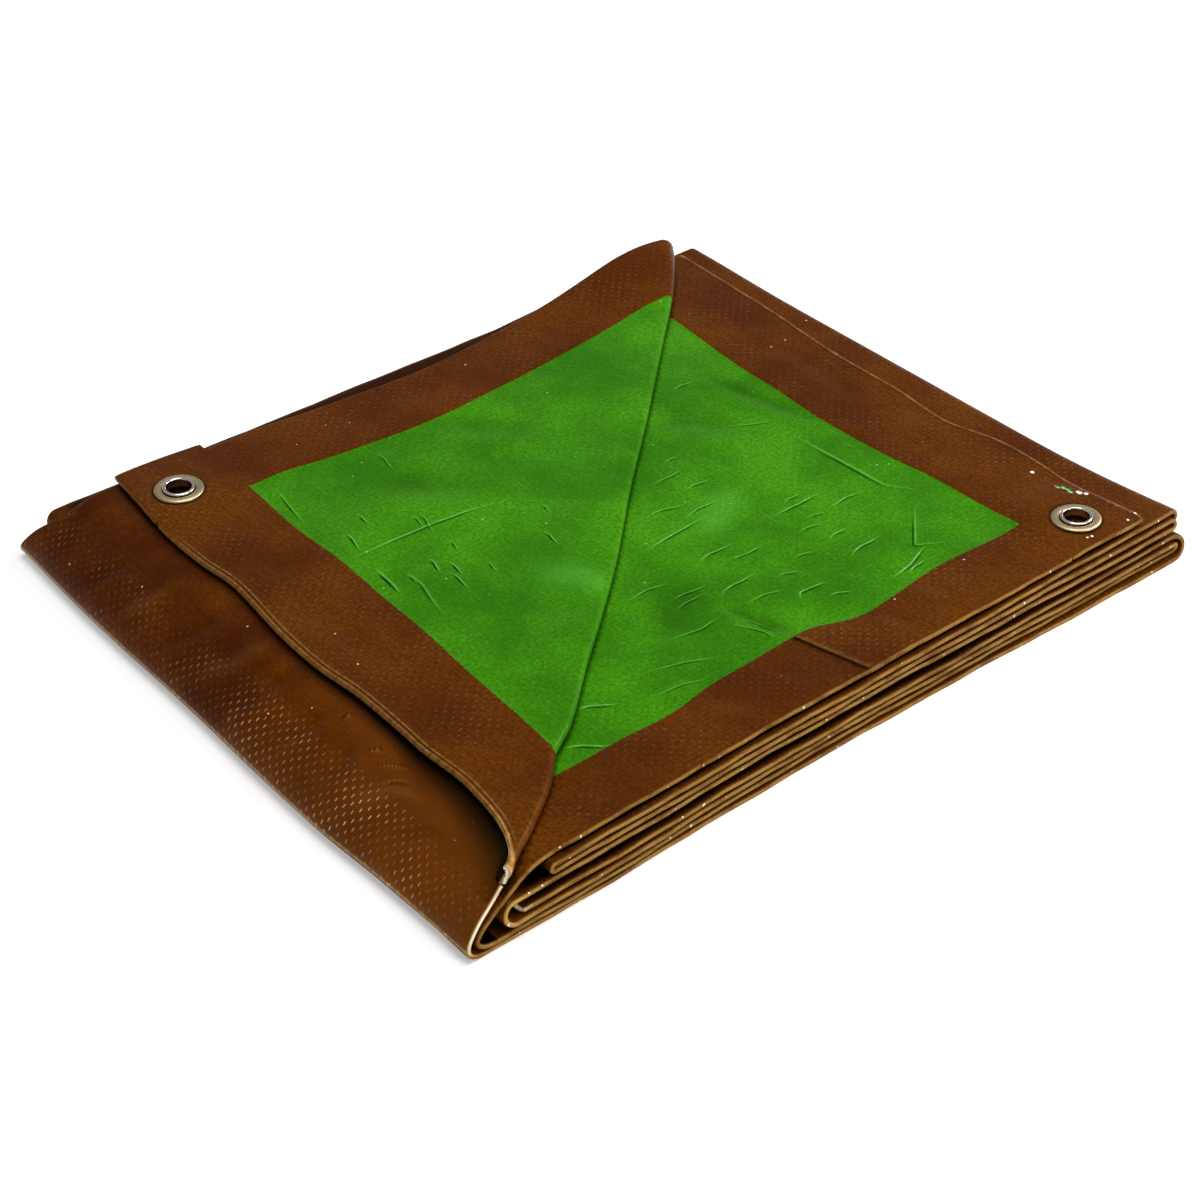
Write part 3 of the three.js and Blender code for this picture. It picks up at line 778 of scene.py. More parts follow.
def ripple(x, y, seed):
    """The slight unevenness of cloth that lies in folds."""
    one = np.sin(x / 9.1 + 1.3 * np.sin(y / 21 + seed) + seed)
    one = one * np.sin(y / 12.7 + 1.1 * np.sin(x / 17 + 2 * seed))
    two = np.sin((x + 0.7 * y) / 23 + 2.1 * seed) * np.sin((y - 0.6 * x) / 31 + seed)
    return 0.5 * one + two


# A hem's inner edge: its curve, the places along it, and whether these are along X.
Hem = namedtuple("Hem", "edge at by_x")
HEM_ROW_SPACING, HEM_CORNER_GAP = 0.8, 0.6


def hem_places(start, end):
    """Places along a hem's inner edge, from one corner to the other."""
    return np.arange(start + HEM_CORNER_GAP, end - HEM_CORNER_GAP, HEM_ROW_SPACING)


def hem_rows(hems, offsets):
    """Rows of points along the hems' inner edges, at offsets across them."""
    rows = []
    for hem in hems:
        for offset in offsets:
            value = hem.edge(hem.at) + fraying(hem.at) + offset
            rows.append(stacked(hem.at, value) if hem.by_x else stacked(value, hem.at))
    return rows


GREEN_SPACING, HEM_SPACING, HIDDEN_SPACING, CORNER_SPACING = 1.7, 2.6, 14, 1.6
EDGE_ROOM = 0.8  # how far the free points of a mesh stay inside its outline
ROW_ROOM = 1.2  # how far its staggered points stay from its rows
HEM_ROWS = (-0.3, 0.3)  # the rows at both sides of a hem's inner edge


def hem_grids(beyond, shown):
    """How far apart the points lie on the green cloth, on its hem, and out of sight."""
    return [
        (GREEN_SPACING, lambda u, v: shown(u, v) & (beyond(u, v) < 1)),
        (HEM_SPACING, lambda u, v: shown(u, v) & (beyond(u, v) >= 1)),
        (HIDDEN_SPACING, lambda u, v: ~shown(u, v)),
    ]


def mesh_points(low, high, grids, rows, inside, room):
    """The rows of points that lie inside, and others between them, which leave them room."""
    rows = np.concatenate(rows)
    rows = rows[inside(rows[:, 0], rows[:, 1])]
    others = []
    for spacing, part in grids:
        others.append(hex_points(low, high, spacing, lambda u, v: inside(u, v) & part(u, v)))
    others = np.concatenate(others)
    return np.concatenate([others[nearest(rows, others) > room], rows])


# The flap: level cloth, and past its base the fold, which turns it under and meets the panel.
def near_tip(v):
    """1 at the flap's front tip, and 0 over the rest of it."""
    return smoothstep(-v, 146, 156)


def tuck_length(v):
    """How far the flap's piece goes past its fold: less at the tip, where the panel comes up to it."""
    room = (fold_base(v) - OUTER_WRAP[-1][0] - 0.85) / lerp(fold_frame(v)[0][..., 0], 1, near_tip(v))
    return np.minimum(PANEL_TUCK + 3 * near_tip(v), np.maximum(room, 0.3))


def flap_place(u, v):
    base, tip = fold_base(v), near_tip(v)
    across, radius = fold_frame(v)
    level, beyond = np.minimum(u, base), np.maximum(u - base, 0)
    angle = np.minimum(beyond / radius, math.pi)
    arc = radius * np.sin(angle) * (1 - 0.8 * tip)
    tuck = np.maximum(beyond - math.pi * radius, 0)
    x = level + across[..., 0] * arc - lerp(across[..., 0], 1, tip) * tuck
    y = v + across[..., 1] * arc - lerp(across[..., 1], 0, tip) * tuck
    z = middle_height(FLAP, level, v) - radius * (1 - np.cos(angle))
    meets = smoothstep(tuck / np.maximum(tuck_length(v), 0.1), 0, 1)
    above_panel = np.maximum(z - swollen(panel_height(x, y), y), 0)
    return stacked(x, y, z - above_panel * meets * tip)


def flap_left(v):
    return np.minimum(FLAP_LEFT(v) + HALF, fold_base(v) - 0.3)


def flap_back(u):
    return FLAP_BACK(u) - HALF


def flap_end(v):
    return fold_base(v) + math.pi * fold_frame(v)[1] + tuck_length(v)


FLAP_FRONT = -158.5 + HALF
SEAM = 0.02  # between a corner patch and its leaf
CORNER_INSET = 0.6  # a corner patch ends this far inside the hem


def beyond_flap_hem(x, y):
    return np.maximum(FLAP_HEM_LEFT(y) + fraying(y) - x, y - FLAP_HEM_BACK(x) - fraying(x))


def rolled_hem(u, v):
    """How far a place lies inside the flap's left edge, and how strong the roll along it is."""
    inside = u - FLAP_LEFT(v)
    return inside, (1 - smoothstep(v, 70, 104)) * smoothstep(v, -158, -140)


def flap_relief(u, v):
    level = smoothstep(fold_base(v) - u, 0, 6)
    inside, roll = rolled_hem(u, v)
    lift = crease_relief(FLAP_CREASES, u, v) + 0.16 * ripple(u, v, 1.0)
    bead = bell(inside, 1.3, 0.6) - 0.7 * bell(inside, 2.7, 0.6)
    return hem_step(beyond_flap_hem(u, v)) + lift * level + 0.25 * roll * bead


def flap_marks(u, v):
    inside, roll = rolled_hem(u, v)
    # Painted highlight: tan lines along the roll of the left edge, and a pale rim near the front tip.
    lines = 0.5 * bell(inside, 1.2, 0.4) + 0.45 * bell(inside, 3.4, 0.3)
    at_tip = smoothstep(-v, 118, 154) * bell(inside, 0.9, 0.6)
    round_fold = (u - fold_base(v)) / (math.pi * fold_frame(v)[1])
    very_tip = smoothstep(-v, 150, 156.5) * (round_fold > -0.3)
    highlight_and_wear = np.maximum(roll * lines + 1.3 * at_tip, 1.5 * smoothstep(-v, 155.8, 157.3))
    # Painted shade: a dark line in the roll's trough, and the underside of the fold past its middle, except
    # at the very tip.
    roll_trough_shade = 0.5 * bell(inside, 2.5, 0.35) * roll
    shade = np.maximum(0.85 * smoothstep(round_fold, 0.42, 0.7), roll_trough_shade) * (1 - very_tip)
    shade = np.maximum(shade, round_eyelet(u, v))
    return highlight_and_wear, shade, crease_light_and_shade(FLAP_CREASES, u, v) * (round_fold < 0), np.zeros_like(u)


def build_flap(materials):
    right_back = crossing(lambda v: flap_back(fold_base(v)) - v, 140, 158)
    corner_y = FLAP_HEM_BACK(NOTCH_X) + CORNER_INSET
    v_left = np.linspace(corner_y, FLAP_FRONT, 180)
    v_right = np.linspace(FLAP_FRONT, right_back, 200)
    u_back = np.linspace(fold_base(right_back), NOTCH_X, 200)
    u_front = np.linspace(flap_left(FLAP_FRONT), flap_end(FLAP_FRONT), 34)
    left_parts = np.split(v_left, np.searchsorted(-v_left, (138, 146, 151)))
    outline = outline_of(
        (stacked(u_front, FLAP_FRONT), 1.5),
        (stacked(flap_end(v_right), v_right), 0),
        (side_along((flap_end(right_back), u_back[0]), right_back), 0.35),
        (side_along(u_back, flap_back(u_back)), 0.45),
        (side_along(NOTCH_X + SEAM, (flap_back(NOTCH_X), corner_y)), 0),
        (side_along((NOTCH_X, flap_left(corner_y)), corner_y), 0),
        *((side_along(flap_left(v), v), highlight_and_wear) for v, highlight_and_wear in zip(left_parts, (0.5, 0.7, 1.0, 1.4))),
    )

    def inside(u, v):
        ok = (u > flap_left(v) + EDGE_ROOM) & (u < fold_base(v) - EDGE_ROOM)
        ok = ok & (v > FLAP_FRONT + EDGE_ROOM) & (v < flap_back(u) - EDGE_ROOM)
        return ok & ~((u < NOTCH_X + 1) & (v > corner_y - 1))

    def is_green(u, v):
        return (beyond_flap_hem(u, v) < 0) | (u > fold_base(v)) & (beyond_flap_hem(fold_base(v), v) < 0)

    fold_v = np.linspace(FLAP_FRONT + EDGE_ROOM, right_back - EDGE_ROOM, 230)
    base, half_turn, tuck = fold_base(fold_v), math.pi * fold_frame(fold_v)[1], tuck_length(fold_v)
    lines = [stacked(base + half_turn * share, fold_v) for share in np.linspace(0, 1, 11)]
    lines += [stacked(base + half_turn + tuck * share, fold_v) for share in (0.2, 0.4, 0.6, 0.8)]
    corner = crossing(lambda v: FLAP_HEM_LEFT(v) - fold_base(v), -125, -105)
    top_y = FLAP_HEM_BACK(FLAP_HEM_LEFT(106.0))
    right_x = crossing(lambda x: fold_base(FLAP_HEM_BACK(x)) - x, 100, 160)
    hems = [
        Hem(FLAP_HEM_LEFT, hem_places(corner - 0.1, top_y), False),
        Hem(FLAP_HEM_BACK, hem_places(FLAP_HEM_LEFT(top_y), right_x), True),
    ]
    roll_v = np.arange(-152, 104, 1.6)
    roll = [stacked(FLAP_LEFT(roll_v) + offset, roll_v) for offset in (1.7, 2.1, 2.5, 2.9, 3.4, 3.9)]
    rows = [crease_rows(FLAP_CREASES), *roll]
    grids = hem_grids(beyond_flap_hem, everywhere)
    free = mesh_points((-180, -160), (185, 160), grids, rows, inside, ROW_ROOM)
    free = np.concatenate([free, *hem_rows(hems, HEM_ROWS)])
    lines += hem_rows(hems, (0.0,))
    return plate("flap", outline, lines, free, flap_place, flap_relief, is_green, flap_marks, materials)


# The top leaf, and the inner wrap that it ends in.
WRAP_FROM = INNER_WRAP[-1][0]
WRAP_MARKS = np.arange(len(INNER_WRAP))
WRAP_X = Curve(*zip(WRAP_MARKS, [x for x, _ in reversed(INNER_WRAP)]))
WRAP_Z = Curve(*zip(WRAP_MARKS, [z for _, z in reversed(INNER_WRAP)]))
FINE_MARKS = np.linspace(0, len(INNER_WRAP) - 1, 400)
WRAP_LENGTH = lengths_along(stacked(WRAP_X(FINE_MARKS), WRAP_Z(FINE_MARKS)))
WRAP_END = WRAP_FROM - WRAP_LENGTH[-1]


def top_place(u, v):
    mark = np.interp(np.maximum(WRAP_FROM - u, 0), WRAP_LENGTH, FINE_MARKS)
    x0, z0 = WRAP_X(mark), WRAP_Z(mark)
    leaf_z = middle_height(TOP, np.maximum(u, WRAP_FROM), v)
    on_leaf = u > WRAP_FROM
    x = np.where(on_leaf, u, x0 + left_shift(x0, v))
    return stacked(x, v, np.where(on_leaf, leaf_z, swollen(z0, v)))


def top_edges(u):
    """The front and the back edge of the top leaf, which turn into the next leaf's along the wrap."""
    share = np.clip((WRAP_FROM - u) / WRAP_LENGTH[-1], 0, 1)
    x = np.maximum(u, -184)
    front = lerp(front_edge(TOP, x), front_edge(1, x), share)
    back = lerp(back_edge(TOP, x), back_edge(1, x), share)
    return front + HALF, back - HALF


def beyond_top_hem(x, y):
    return np.maximum(x - TOP_HEM_RIGHT(y) - fraying(y), TOP_HEM_FRONT(x) + fraying(x) - y)


PLEAT = ((3.0, -121.0), (10.0, -155.5))  # where one run of the front hem overlaps the other


Chip = namedtuple("Chip", "x y radius is_green")
CHIPS = [  # bits of frayed thread that stand out of the right hem
    Chip(167.0, -100.1, 1.0, False),
    Chip(165.6, -116.4, 0.7, True),
    Chip(167.0, -118.2, 0.9, True),
    Chip(167.1, -120.4, 0.7, True),
    Chip(166.4, -122.6, 0.9, True),
    Chip(169.0, -125.9, 1.2, False),
    Chip(170.6, -128.1, 1.1, False),
    Chip(169.0, -153.2, 0.7, False),
    Chip(176.0, -152.0, 0.7, False),
    Chip(147.6, -151.6, 0.7, False),
    Chip(145.4, -150.9, 0.6, False),
]


def chip_marks(u, v):
    """1 on a bright bit of thread, and -1 on a green one."""
    total = np.zeros_like(u)
    for chip in CHIPS:
        away = np.hypot(u - chip.x, (v - chip.y) * (0.7 if chip.is_green else 1))
        total += (1 - smoothstep(away, chip.radius * 0.7, chip.radius * 1.2)) * (-1 if chip.is_green else 1)
    return np.clip(total, -1, 1)


def chip_points():
    """Points close together at each chip, so that the mesh can follow it."""
    rows = []
    for chip in CHIPS:
        reach = chip.radius * 1.6

        def near(u, v, chip=chip, reach=reach):
            return np.hypot(u - chip.x, v - chip.y) < reach

        low, high = (chip.x - reach, chip.y - reach), (chip.x + reach, chip.y + reach)
        rows.append(hex_points(low, high, 0.45, near))
    return np.concatenate(rows)


WASHER_EDGE = 11.4
WASHER_ROWS = (10.8, WASHER_EDGE, 12.0, 12.6)


def round_eyelet(u, v):
    """The dark line of painted shade where a washer meets the cloth."""
    away = np.min([np.hypot(u - eyelet.x, v - eyelet.y) for eyelet in EYELETS], axis=0)
    return 0.85 * bell(away, WASHER_EDGE, 0.55)


def circle_round(eyelet, radius, count):
    turns = np.linspace(0, 2 * math.pi, count, endpoint=False)
    return stacked(eyelet.x + radius * np.cos(turns), eyelet.y + radius * np.sin(turns))


def eyelet_rows(eyelet):
    """Points close together where a washer meets the cloth."""
    return np.concatenate([circle_round(eyelet, radius, 56) for radius in WASHER_ROWS])


def across_pleat(u, v):
    """How far a place lies from the pleat, to its right or, below 0, to its left."""
    (ax, ay), (bx, by) = PLEAT
    return ((u - ax) * (ay - by) + (v - ay) * (bx - ax)) / math.hypot(bx - ax, by - ay)


def top_relief(u, v):
    across = across_pleat(u, v)
    on_hem = smoothstep(TOP_HEM_FRONT(u) - v, 0, 1)
    step = 0.5 * smoothstep(across, -0.5, 0.3) * (1 - smoothstep(across, 8, 40)) * on_hem
    lift = crease_relief(TOP_CREASES, u, v) + 0.18 * ripple(u, v, 2.0)
    lift = np.where(u < WRAP_FROM, 0, lift) + 0.35 * np.abs(chip_marks(u, v))
    return hem_step(beyond_top_hem(u, v)) + lift + step


def top_marks(u, v):
    across = across_pleat(u, v)
    on_hem = smoothstep(TOP_HEM_FRONT(u) - v, -1, 2)
    # Painted shade: a black line along the pleat and a darker band on its lower side, and a narrow band
    # beside the fold.
    line = 0.95 * bell(across, -0.5, 0.6)
    hollow = 0.3 * np.exp(np.minimum(across, 0) / 7) * (across < 0)
    from_fold = (u - FOLD_LINE(v)) * 0.7
    by_fold = 0.7 * bell(np.maximum(from_fold - 0.2, 0), 0, 0.6) * (np.abs(from_fold) < 6)
    inside = TOP_RIGHT(v) - u
    seal = 0.3 * bell(inside, 5.5, 0.8) * (0.5 + 0.5 * np.sin(v * 1.9))
    edge = 0.6 * bell(inside, 2.4, 0.45)
    shade = np.maximum(np.maximum((line + hollow) * on_hem, by_fold), np.maximum(seal, edge))
    # Painted highlight: the raised side of the pleat, and a broken light line along the right edge.
    highlight_and_wear = 0.25 * bell(across, 0.9, 0.7) * on_hem
    broken = 0.55 + 0.3 * np.sin(v * 0.37) * np.sin(v * 0.113 + 1)
    highlight_and_wear = np.maximum(highlight_and_wear, broken * bell(inside, 1.3, 0.5))
    crease = crease_light_and_shade(TOP_CREASES, u, v) * (u > WRAP_FROM)
    return highlight_and_wear, np.clip(np.maximum(shade, round_eyelet(u, v)), 0, 1), crease, chip_marks(u, v)


# Where the right corner patch is cut out of the top leaf.
CUT_X, CUT_Y = EYELETS[0].x - 21.2, TOP_HEM_FRONT(140) - CORNER_INSET


def top_right(v):
    return TOP_RIGHT(v) - HALF


def build_top(materials):
    u_front = np.linspace(WRAP_END, CUT_X - SEAM, 300)
    right_back = crossing(lambda v: top_edges(top_right(v))[1] - v, 140, 160)
    v_right = np.linspace(CUT_Y, right_back, 200)
    u_back = np.linspace(top_right(right_back), WRAP_END, 200)
    outline = outline_of(
        (side_along(u_front, top_edges(u_front)[0]), 0.85),
        (side_along(CUT_X - SEAM, (top_edges(CUT_X)[0], CUT_Y + SEAM)), 0),
        (side_along((CUT_X, top_right(CUT_Y)), CUT_Y + SEAM), 0),
        (side_along(top_right(v_right), v_right), 0.4),
        (side_along(u_back, top_edges(u_back)[1]), 0.4),
        (side_along(WRAP_END, top_edges(WRAP_END)[::-1]), 0),
    )

    def inside(u, v):
        front, back = top_edges(u)
        ok = (v > front + EDGE_ROOM) & (v < back - EDGE_ROOM)
        ok = ok & (u < top_right(v) - EDGE_ROOM) & (u > WRAP_END + EDGE_ROOM)
        return ok & ~((u > CUT_X - 1) & (v < CUT_Y + 1))

    def shown(u, v):
        return u > FOLD_LINE(v) - 8

    def is_green(u, v):
        return (beyond_top_hem(u, v) < 0) & (u > WRAP_FROM)

    corner_y = TOP_HEM_FRONT(TOP_HEM_RIGHT(-124.0))
    hems = [
        Hem(TOP_HEM_RIGHT, hem_places(corner_y, 113.6), False),
        Hem(TOP_HEM_FRONT, hem_places(-110.6, TOP_HEM_RIGHT(corner_y)), True),
    ]
    pleat = evenly(PLEAT, 1.2)
    extra = hem_rows(hems, HEM_ROWS) + [beside(pleat, offset) for offset in (-0.6, -0.3, 0.0, 0.3, 0.6)]
    extra = [rows[inside(rows[:, 0], rows[:, 1])] for rows in extra]
    edge_v = np.arange(-150, 148, 1.5)
    rows = [crease_rows(TOP_CREASES), chip_points()]
    rows += [stacked(TOP_RIGHT(edge_v) - offset, edge_v) for offset in (1.9, 2.4, 2.9, 3.6)]
    grids = hem_grids(beyond_top_hem, shown)
    free = mesh_points((WRAP_END, -168), (185, 168), grids, rows, inside, ROW_ROOM)
    on_wrap = []
    for u in np.arange(WRAP_END + 1.2, -148, 1.6):
        on_wrap.append(stacked(u, lerp(*top_edges(u), edge_columns(30))[1:-1]))
    free = np.concatenate([free, *on_wrap, *extra])
    lines = hem_rows(hems, (0.0,))
    return plate("top_leaf", outline, lines, free, top_place, top_relief, is_green, top_marks, materials)


# The doubled corners that hold the eyelets.
def corner_patch(name, eyelet, outline, within, box, rows, relief, marks, materials):
    """A corner of a leaf as a piece of its own, with the hole for its eyelet."""
    hole = stacked(*circle_round(eyelet, CLOTH_HOLE, 64)[::-1].T, 0.0)

    def inside(u, v):
        return within(u, v) & (np.hypot(u - eyelet.x, v - eyelet.y) > CLOTH_HOLE + 0.7)

    def place(u, v):
        return stacked(u, v, middle_height(eyelet.leaf, u, v))

    def is_green(u, v):
        return ~everywhere(u, v)

    free = mesh_points(*box, [(CORNER_SPACING, everywhere)], [*rows, eyelet_rows(eyelet)], inside, 0.9)
    return plate(name, outline, [], free, place, relief, is_green, marks, materials, hole)


def build_right_corner(materials):
    back_y = CUT_Y - SEAM
    u_front = np.linspace(CUT_X, top_right(-156), 40)
    front_v = top_edges(u_front)[0]
    v_right = np.linspace(front_v[-1], back_y, 40)
    outline = outline_of(
        (side_along(u_front, front_v), 0.85),
        (side_along(top_right(v_right), v_right), 0.6),
        (side_along((top_right(back_y), CUT_X), back_y), 0),
        (side_along(CUT_X, (back_y, front_v[0])), 0),
    )

    def within(u, v):
        ok = (u > CUT_X + EDGE_ROOM) & (u < top_right(v) - EDGE_ROOM)
        return ok & (v > top_edges(u)[0] + EDGE_ROOM) & (v < back_y - EDGE_ROOM)

    box, rows = ((CUT_X, -165), (185, back_y)), [chip_points()]
    name, eyelet = "corner_patch_right", EYELETS[0]
    return corner_patch(name, eyelet, outline, within, box, rows, top_relief, top_marks, materials)


def corner_back(x):
    return CORNER_BACK(x) - HALF


def build_left_corner(materials):
    front_y = FLAP_HEM_BACK(NOTCH_X) + CORNER_INSET + SEAM
    back_left = crossing(lambda v: corner_back(FLAP_LEFT(v) + HALF) - v, 140, 158)
    v_left = np.linspace(back_left, front_y, 40)
    u_back = np.linspace(NOTCH_X - SEAM, FLAP_LEFT(back_left) + HALF, 40)
    outline = outline_of(
        (side_along((FLAP_LEFT(front_y) + HALF, NOTCH_X - SEAM), front_y), 0),
        (side_along(NOTCH_X - SEAM, (front_y, corner_back(NOTCH_X))), 0),
        (side_along(u_back, corner_back(u_back)), 0.3),
        (side_along(FLAP_LEFT(v_left) + HALF, v_left), 0.3),
    )

    def within(u, v):
        ok = (u > FLAP_LEFT(v) + HALF + EDGE_ROOM) & (u < NOTCH_X - 0.9)
        return ok & (v > front_y + EDGE_ROOM) & (v < corner_back(u) - EDGE_ROOM)

    box = ((-170, front_y), (NOTCH_X, 158))
    name, eyelet = "corner_patch_left", EYELETS[1]
    return corner_patch(name, eyelet, outline, within, box, [], flap_relief, flap_marks, materials)


# The hidden leaves, which show only at their edges, and the brown sheet that wraps the left end.
def route_of(turns, before):
    """The steps of a run of turns with the leaves between them, which starts at the leaf before them."""
    steps = []
    last = before
    for turn in turns:
        steps_round = turn_run(turn)
        if last is not None:
            steps += run_between(turn.start, last, steps_round[0])
        steps += steps_round
        last = steps_round[-1]
    return steps


# 1 on the leaves out of sight, whose edges folded_sheet paints dark as the shade between them.
def out_of_sight(step):
    return 1.0 if step.start == step.into and 0 < step.start < TOP else 0.0


def pale_edge(places):
    """The sheet's front edge is painted paler, as a highlight, where it wraps the left end."""
    return 1.9 * smoothstep(-places[:, 0], 163, 172) * smoothstep(places[:, 2], 1.5, 6)


# A fainter painted highlight on the inner leaves' front edge.
def slightly_pale_edge(places):
    return 0.35 * pale_edge(places)


def build_inner(materials):
    wrap_end = wrap_run(INNER_WRAP, 1, TOP, 1)[0]
    steps = [wrap_end, *route_of(INNER_TURNS, wrap_end)]
    to_next = turn_run(OUTER_TURNS[0])[0]
    steps += [*run_between(4, steps[-1], to_next), to_next]
    columns = edge_columns(HIDDEN_COLUMNS)
    return folded_sheet("inner_leaves", steps, columns, materials, out_of_sight, bright=slightly_pale_edge)


def outer_wrap():
    return wrap_run(OUTER_WRAP, 0, PANEL, EDGE_HOLD, 6)


def build_under(materials):
    steps = route_of(OUTER_TURNS, None)
    wrap_start = outer_wrap()[0]
    steps += [*run_between(0, steps[-1], wrap_start), wrap_start]
    columns = edge_columns(HIDDEN_COLUMNS)
    return folded_sheet("under_sheet", steps, columns, materials, out_of_sight, bright=pale_edge)


def build_wrap(materials):
    steps = [*outer_wrap(), *panel_run()]
    columns = np.linspace(0, 1, WRAP_COLUMNS)
    piece = folded_sheet("left_wrap", steps, columns, materials, None, wrap_relief, wrap_light_and_shade, pale_edge)
    shade_under_flap(piece)
    return piece


def wrap_relief(s, y):
    """The soft wrinkles of the sheet round the left end, by how far s a place lies along its route."""
    lift = crease_relief(WRAP_CREASES, s, y) + 0.16 * ripple(s, y, 3.0)
    return lift * smoothstep(s, 2, 8) * smoothstep(-s, -88, -72)


def wrap_light_and_shade(s, y):
    return crease_light_and_shade(WRAP_CREASES, s, y)


def shade_under_flap(piece):
    """Paints the flap's shadow onto the panel beside the flap's free edge, and low along the panel's nose a
    dark line of painted shadow with a painted highlight just above it.
    """
    mesh = piece.data
    count = len(mesh.vertices)
    points, values, rims = np.zeros(count * 3), np.zeros(count), np.zeros(count)
    mesh.vertices.foreach_get("co", points)
    mesh.attributes["shade"].data.foreach_get("value", values)
    mesh.attributes["rim"].data.foreach_get("value", rims)
    x, y, z = (points.reshape(-1, 3) / MM - SHIFT).T
    # Painted shadow of the flap beside its free edge, wider towards the front.
    outside = FLAP_LEFT(y) - x
    reach = 1.6 + 1.8 * smoothstep(-y, -60, 60) + 8.0 * smoothstep(-y, 55, 135)
    dark = bell(np.maximum(outside, 0), 0, reach) * (z > 20) * (0.6 + 0.4 * smoothstep(-y, -60, 60))
    # Low along the nose: a dark line of painted shadow, and just above it a painted highlight.
    round_nose = 0.757 * (x - LEFT_END(y)) + 0.654 * z
    round_nose = np.where((x < -186) & (z < 14), round_nose - round_nose[np.abs(y) < 100].min(), 9)
    dark = np.maximum(dark, 1 - smoothstep(round_nose, 0.5, 0.8))
    values = np.where(rims > 0, values, np.maximum(values, dark))
    nose = 0.95 * bell(round_nose, 1.25, 0.4)
    mesh.attributes["shade"].data.foreach_set("value", values.astype(np.float32))
    mesh.attributes["rim"].data.foreach_set("value", np.maximum(rims, nose).astype(np.float32))


# The metal of the eyelets.
def softened(outline, times=2):
    """A closed outline with its corners cut down."""
    points = np.array(outline, float)
    for _ in range(times):
        after = np.roll(points, -1, 0)
        points = np.stack([lerp(points, after, 0.22), lerp(points, after, 0.78)], 1).reshape(-1, 2)
    return points


def turned_ring(name, outline, eyelet, lean, material, sides=120):
    """A ring turned round its middle from an outline of radius and height pairs."""
    outline = softened(outline)
    turns = np.linspace(0, 2 * math.pi, sides, endpoint=False)
    x, y = (outline[:, :1] * wave(turns) for wave in (np.cos, np.sin))
    height = middle_height(eyelet.leaf, eyelet.x, eyelet.y) + outline[:, 1:]
    points = stacked(eyelet.x + x, eyelet.y + y, height + lean * y)
    count = len(outline)
    faces = []
    for i in range(count):
        for j in range(sides):
            k, m = (i + 1) % count, (j + 1) % sides
            faces.append((i * sides + j, i * sides + m, k * sides + m, k * sides + j))
    flat = points.reshape(-1, 3)
    return make_mesh(name, place_in_frame(flat), faces, flat[:, :2] * MM, {}, [material], [0] * len(faces))


CLAMP_TOP = CLOTH / 2 + HEM_STEP + 0.05
CLAMP_UNDER = -CLOTH / 2 - 0.05


def eyelet_outline():
    top = CLAMP_TOP + 2.0
    return [
        (5.65, CLAMP_UNDER - 0.6), (10.0, CLAMP_UNDER - 0.6), (10.4, CLAMP_UNDER - 0.3),
        (10.2, CLAMP_UNDER), (6.4, CLAMP_UNDER), (6.4, top - 1.3), (6.75, top - 1.1),
        (7.1, top - 0.7), (7.05, top - 0.25), (6.6, top), (6.1, top - 0.02), (5.75, top - 0.3),
        (5.65, top - 0.7),
    ]


def washer_outline():
    base = CLAMP_TOP
    return [
        (7.2, base), (10.9, base), (11.0, base + 0.3), (10.7, base + 0.75), (10.1, base + 1.0),
        (9.3, base + 1.12), (8.4, base + 1.05), (7.6, base + 0.85), (7.2, base + 0.5),
    ]


# Creases, as ridges (height above 0) or troughs, in the cloth's own millimetres.
FLAP_CREASES = [
    Crease(0.55, 0.9, [(-111.3, 33.7), (-90.0, 33.2), (-66.7, 32.1), (-45.0, 29.5), (-27.8, 25.5)]),
    Crease(0.35, 0.9, [(-102.4, 100.7), (-106.3, 80.8), (-108.7, 65.0)]),
    Crease(0.3, 0.8, [(-53.5, 95.6), (-54.1, 75.0)]),
    Crease(0.5, 0.8, [(-88.0, 59.6), (-87.2, 48.1)]),
    Crease(0.4, 0.7, [(-70.3, 43.9), (-70.4, 31.3)]),
    Crease(0.45, 0.7, [(-66.9, 44.1), (-69.8, 25.0)]),
    Crease(0.4, 0.7, [(-68.5, 19.0), (-69.5, 8.5)]),
    Crease(0.55, 0.8, [(-99.8, 51.8), (-101.3, 34.9)]),
    Crease(0.75, 1.0, [(-104.4, 22.5), (-105.2, 10.0), (-106.4, -1.5)]),
    Crease(0.45, 0.7, [(-97.1, 9.9), (-96.9, -0.4)]),
    Crease(0.6, 0.8, [(-83.1, 14.1), (-84.8, 0.6)]),
    Crease(0.55, 0.8, [(-78.4, 6.4), (-78.3, -6.6)]),
    Crease(0.5, 0.8, [(-82.7, 0.7), (-82.4, -16.1)]),
    Crease(0.45, 0.7, [(-65.7, -3.2), (-66.0, -13.2)]),
    Crease(0.4, 0.7, [(-21.6, 14.4), (-22.3, 6.0)]),
    Crease(0.5, 0.8, [(-33.9, -1.0), (-34.3, -15.1)]),
    Crease(0.25, 1.2, [(-97.4, 16.6), (-101.0, -26.5)]),
    Crease(-0.5, 7.0, [(-20.0, 92.0), (20.0, 60.0)]),
    Crease(-0.5, 9.0, [(-75.0, 75.0), (-30.0, 40.0)]),
    Crease(0.5, 9.0, [(-60.0, -20.0), (-30.0, -60.0)]),
    Crease(-0.4, 6.0, [(-126.0, 90.0), (-140.0, 20.0), (-139.0, -60.0)]),
]
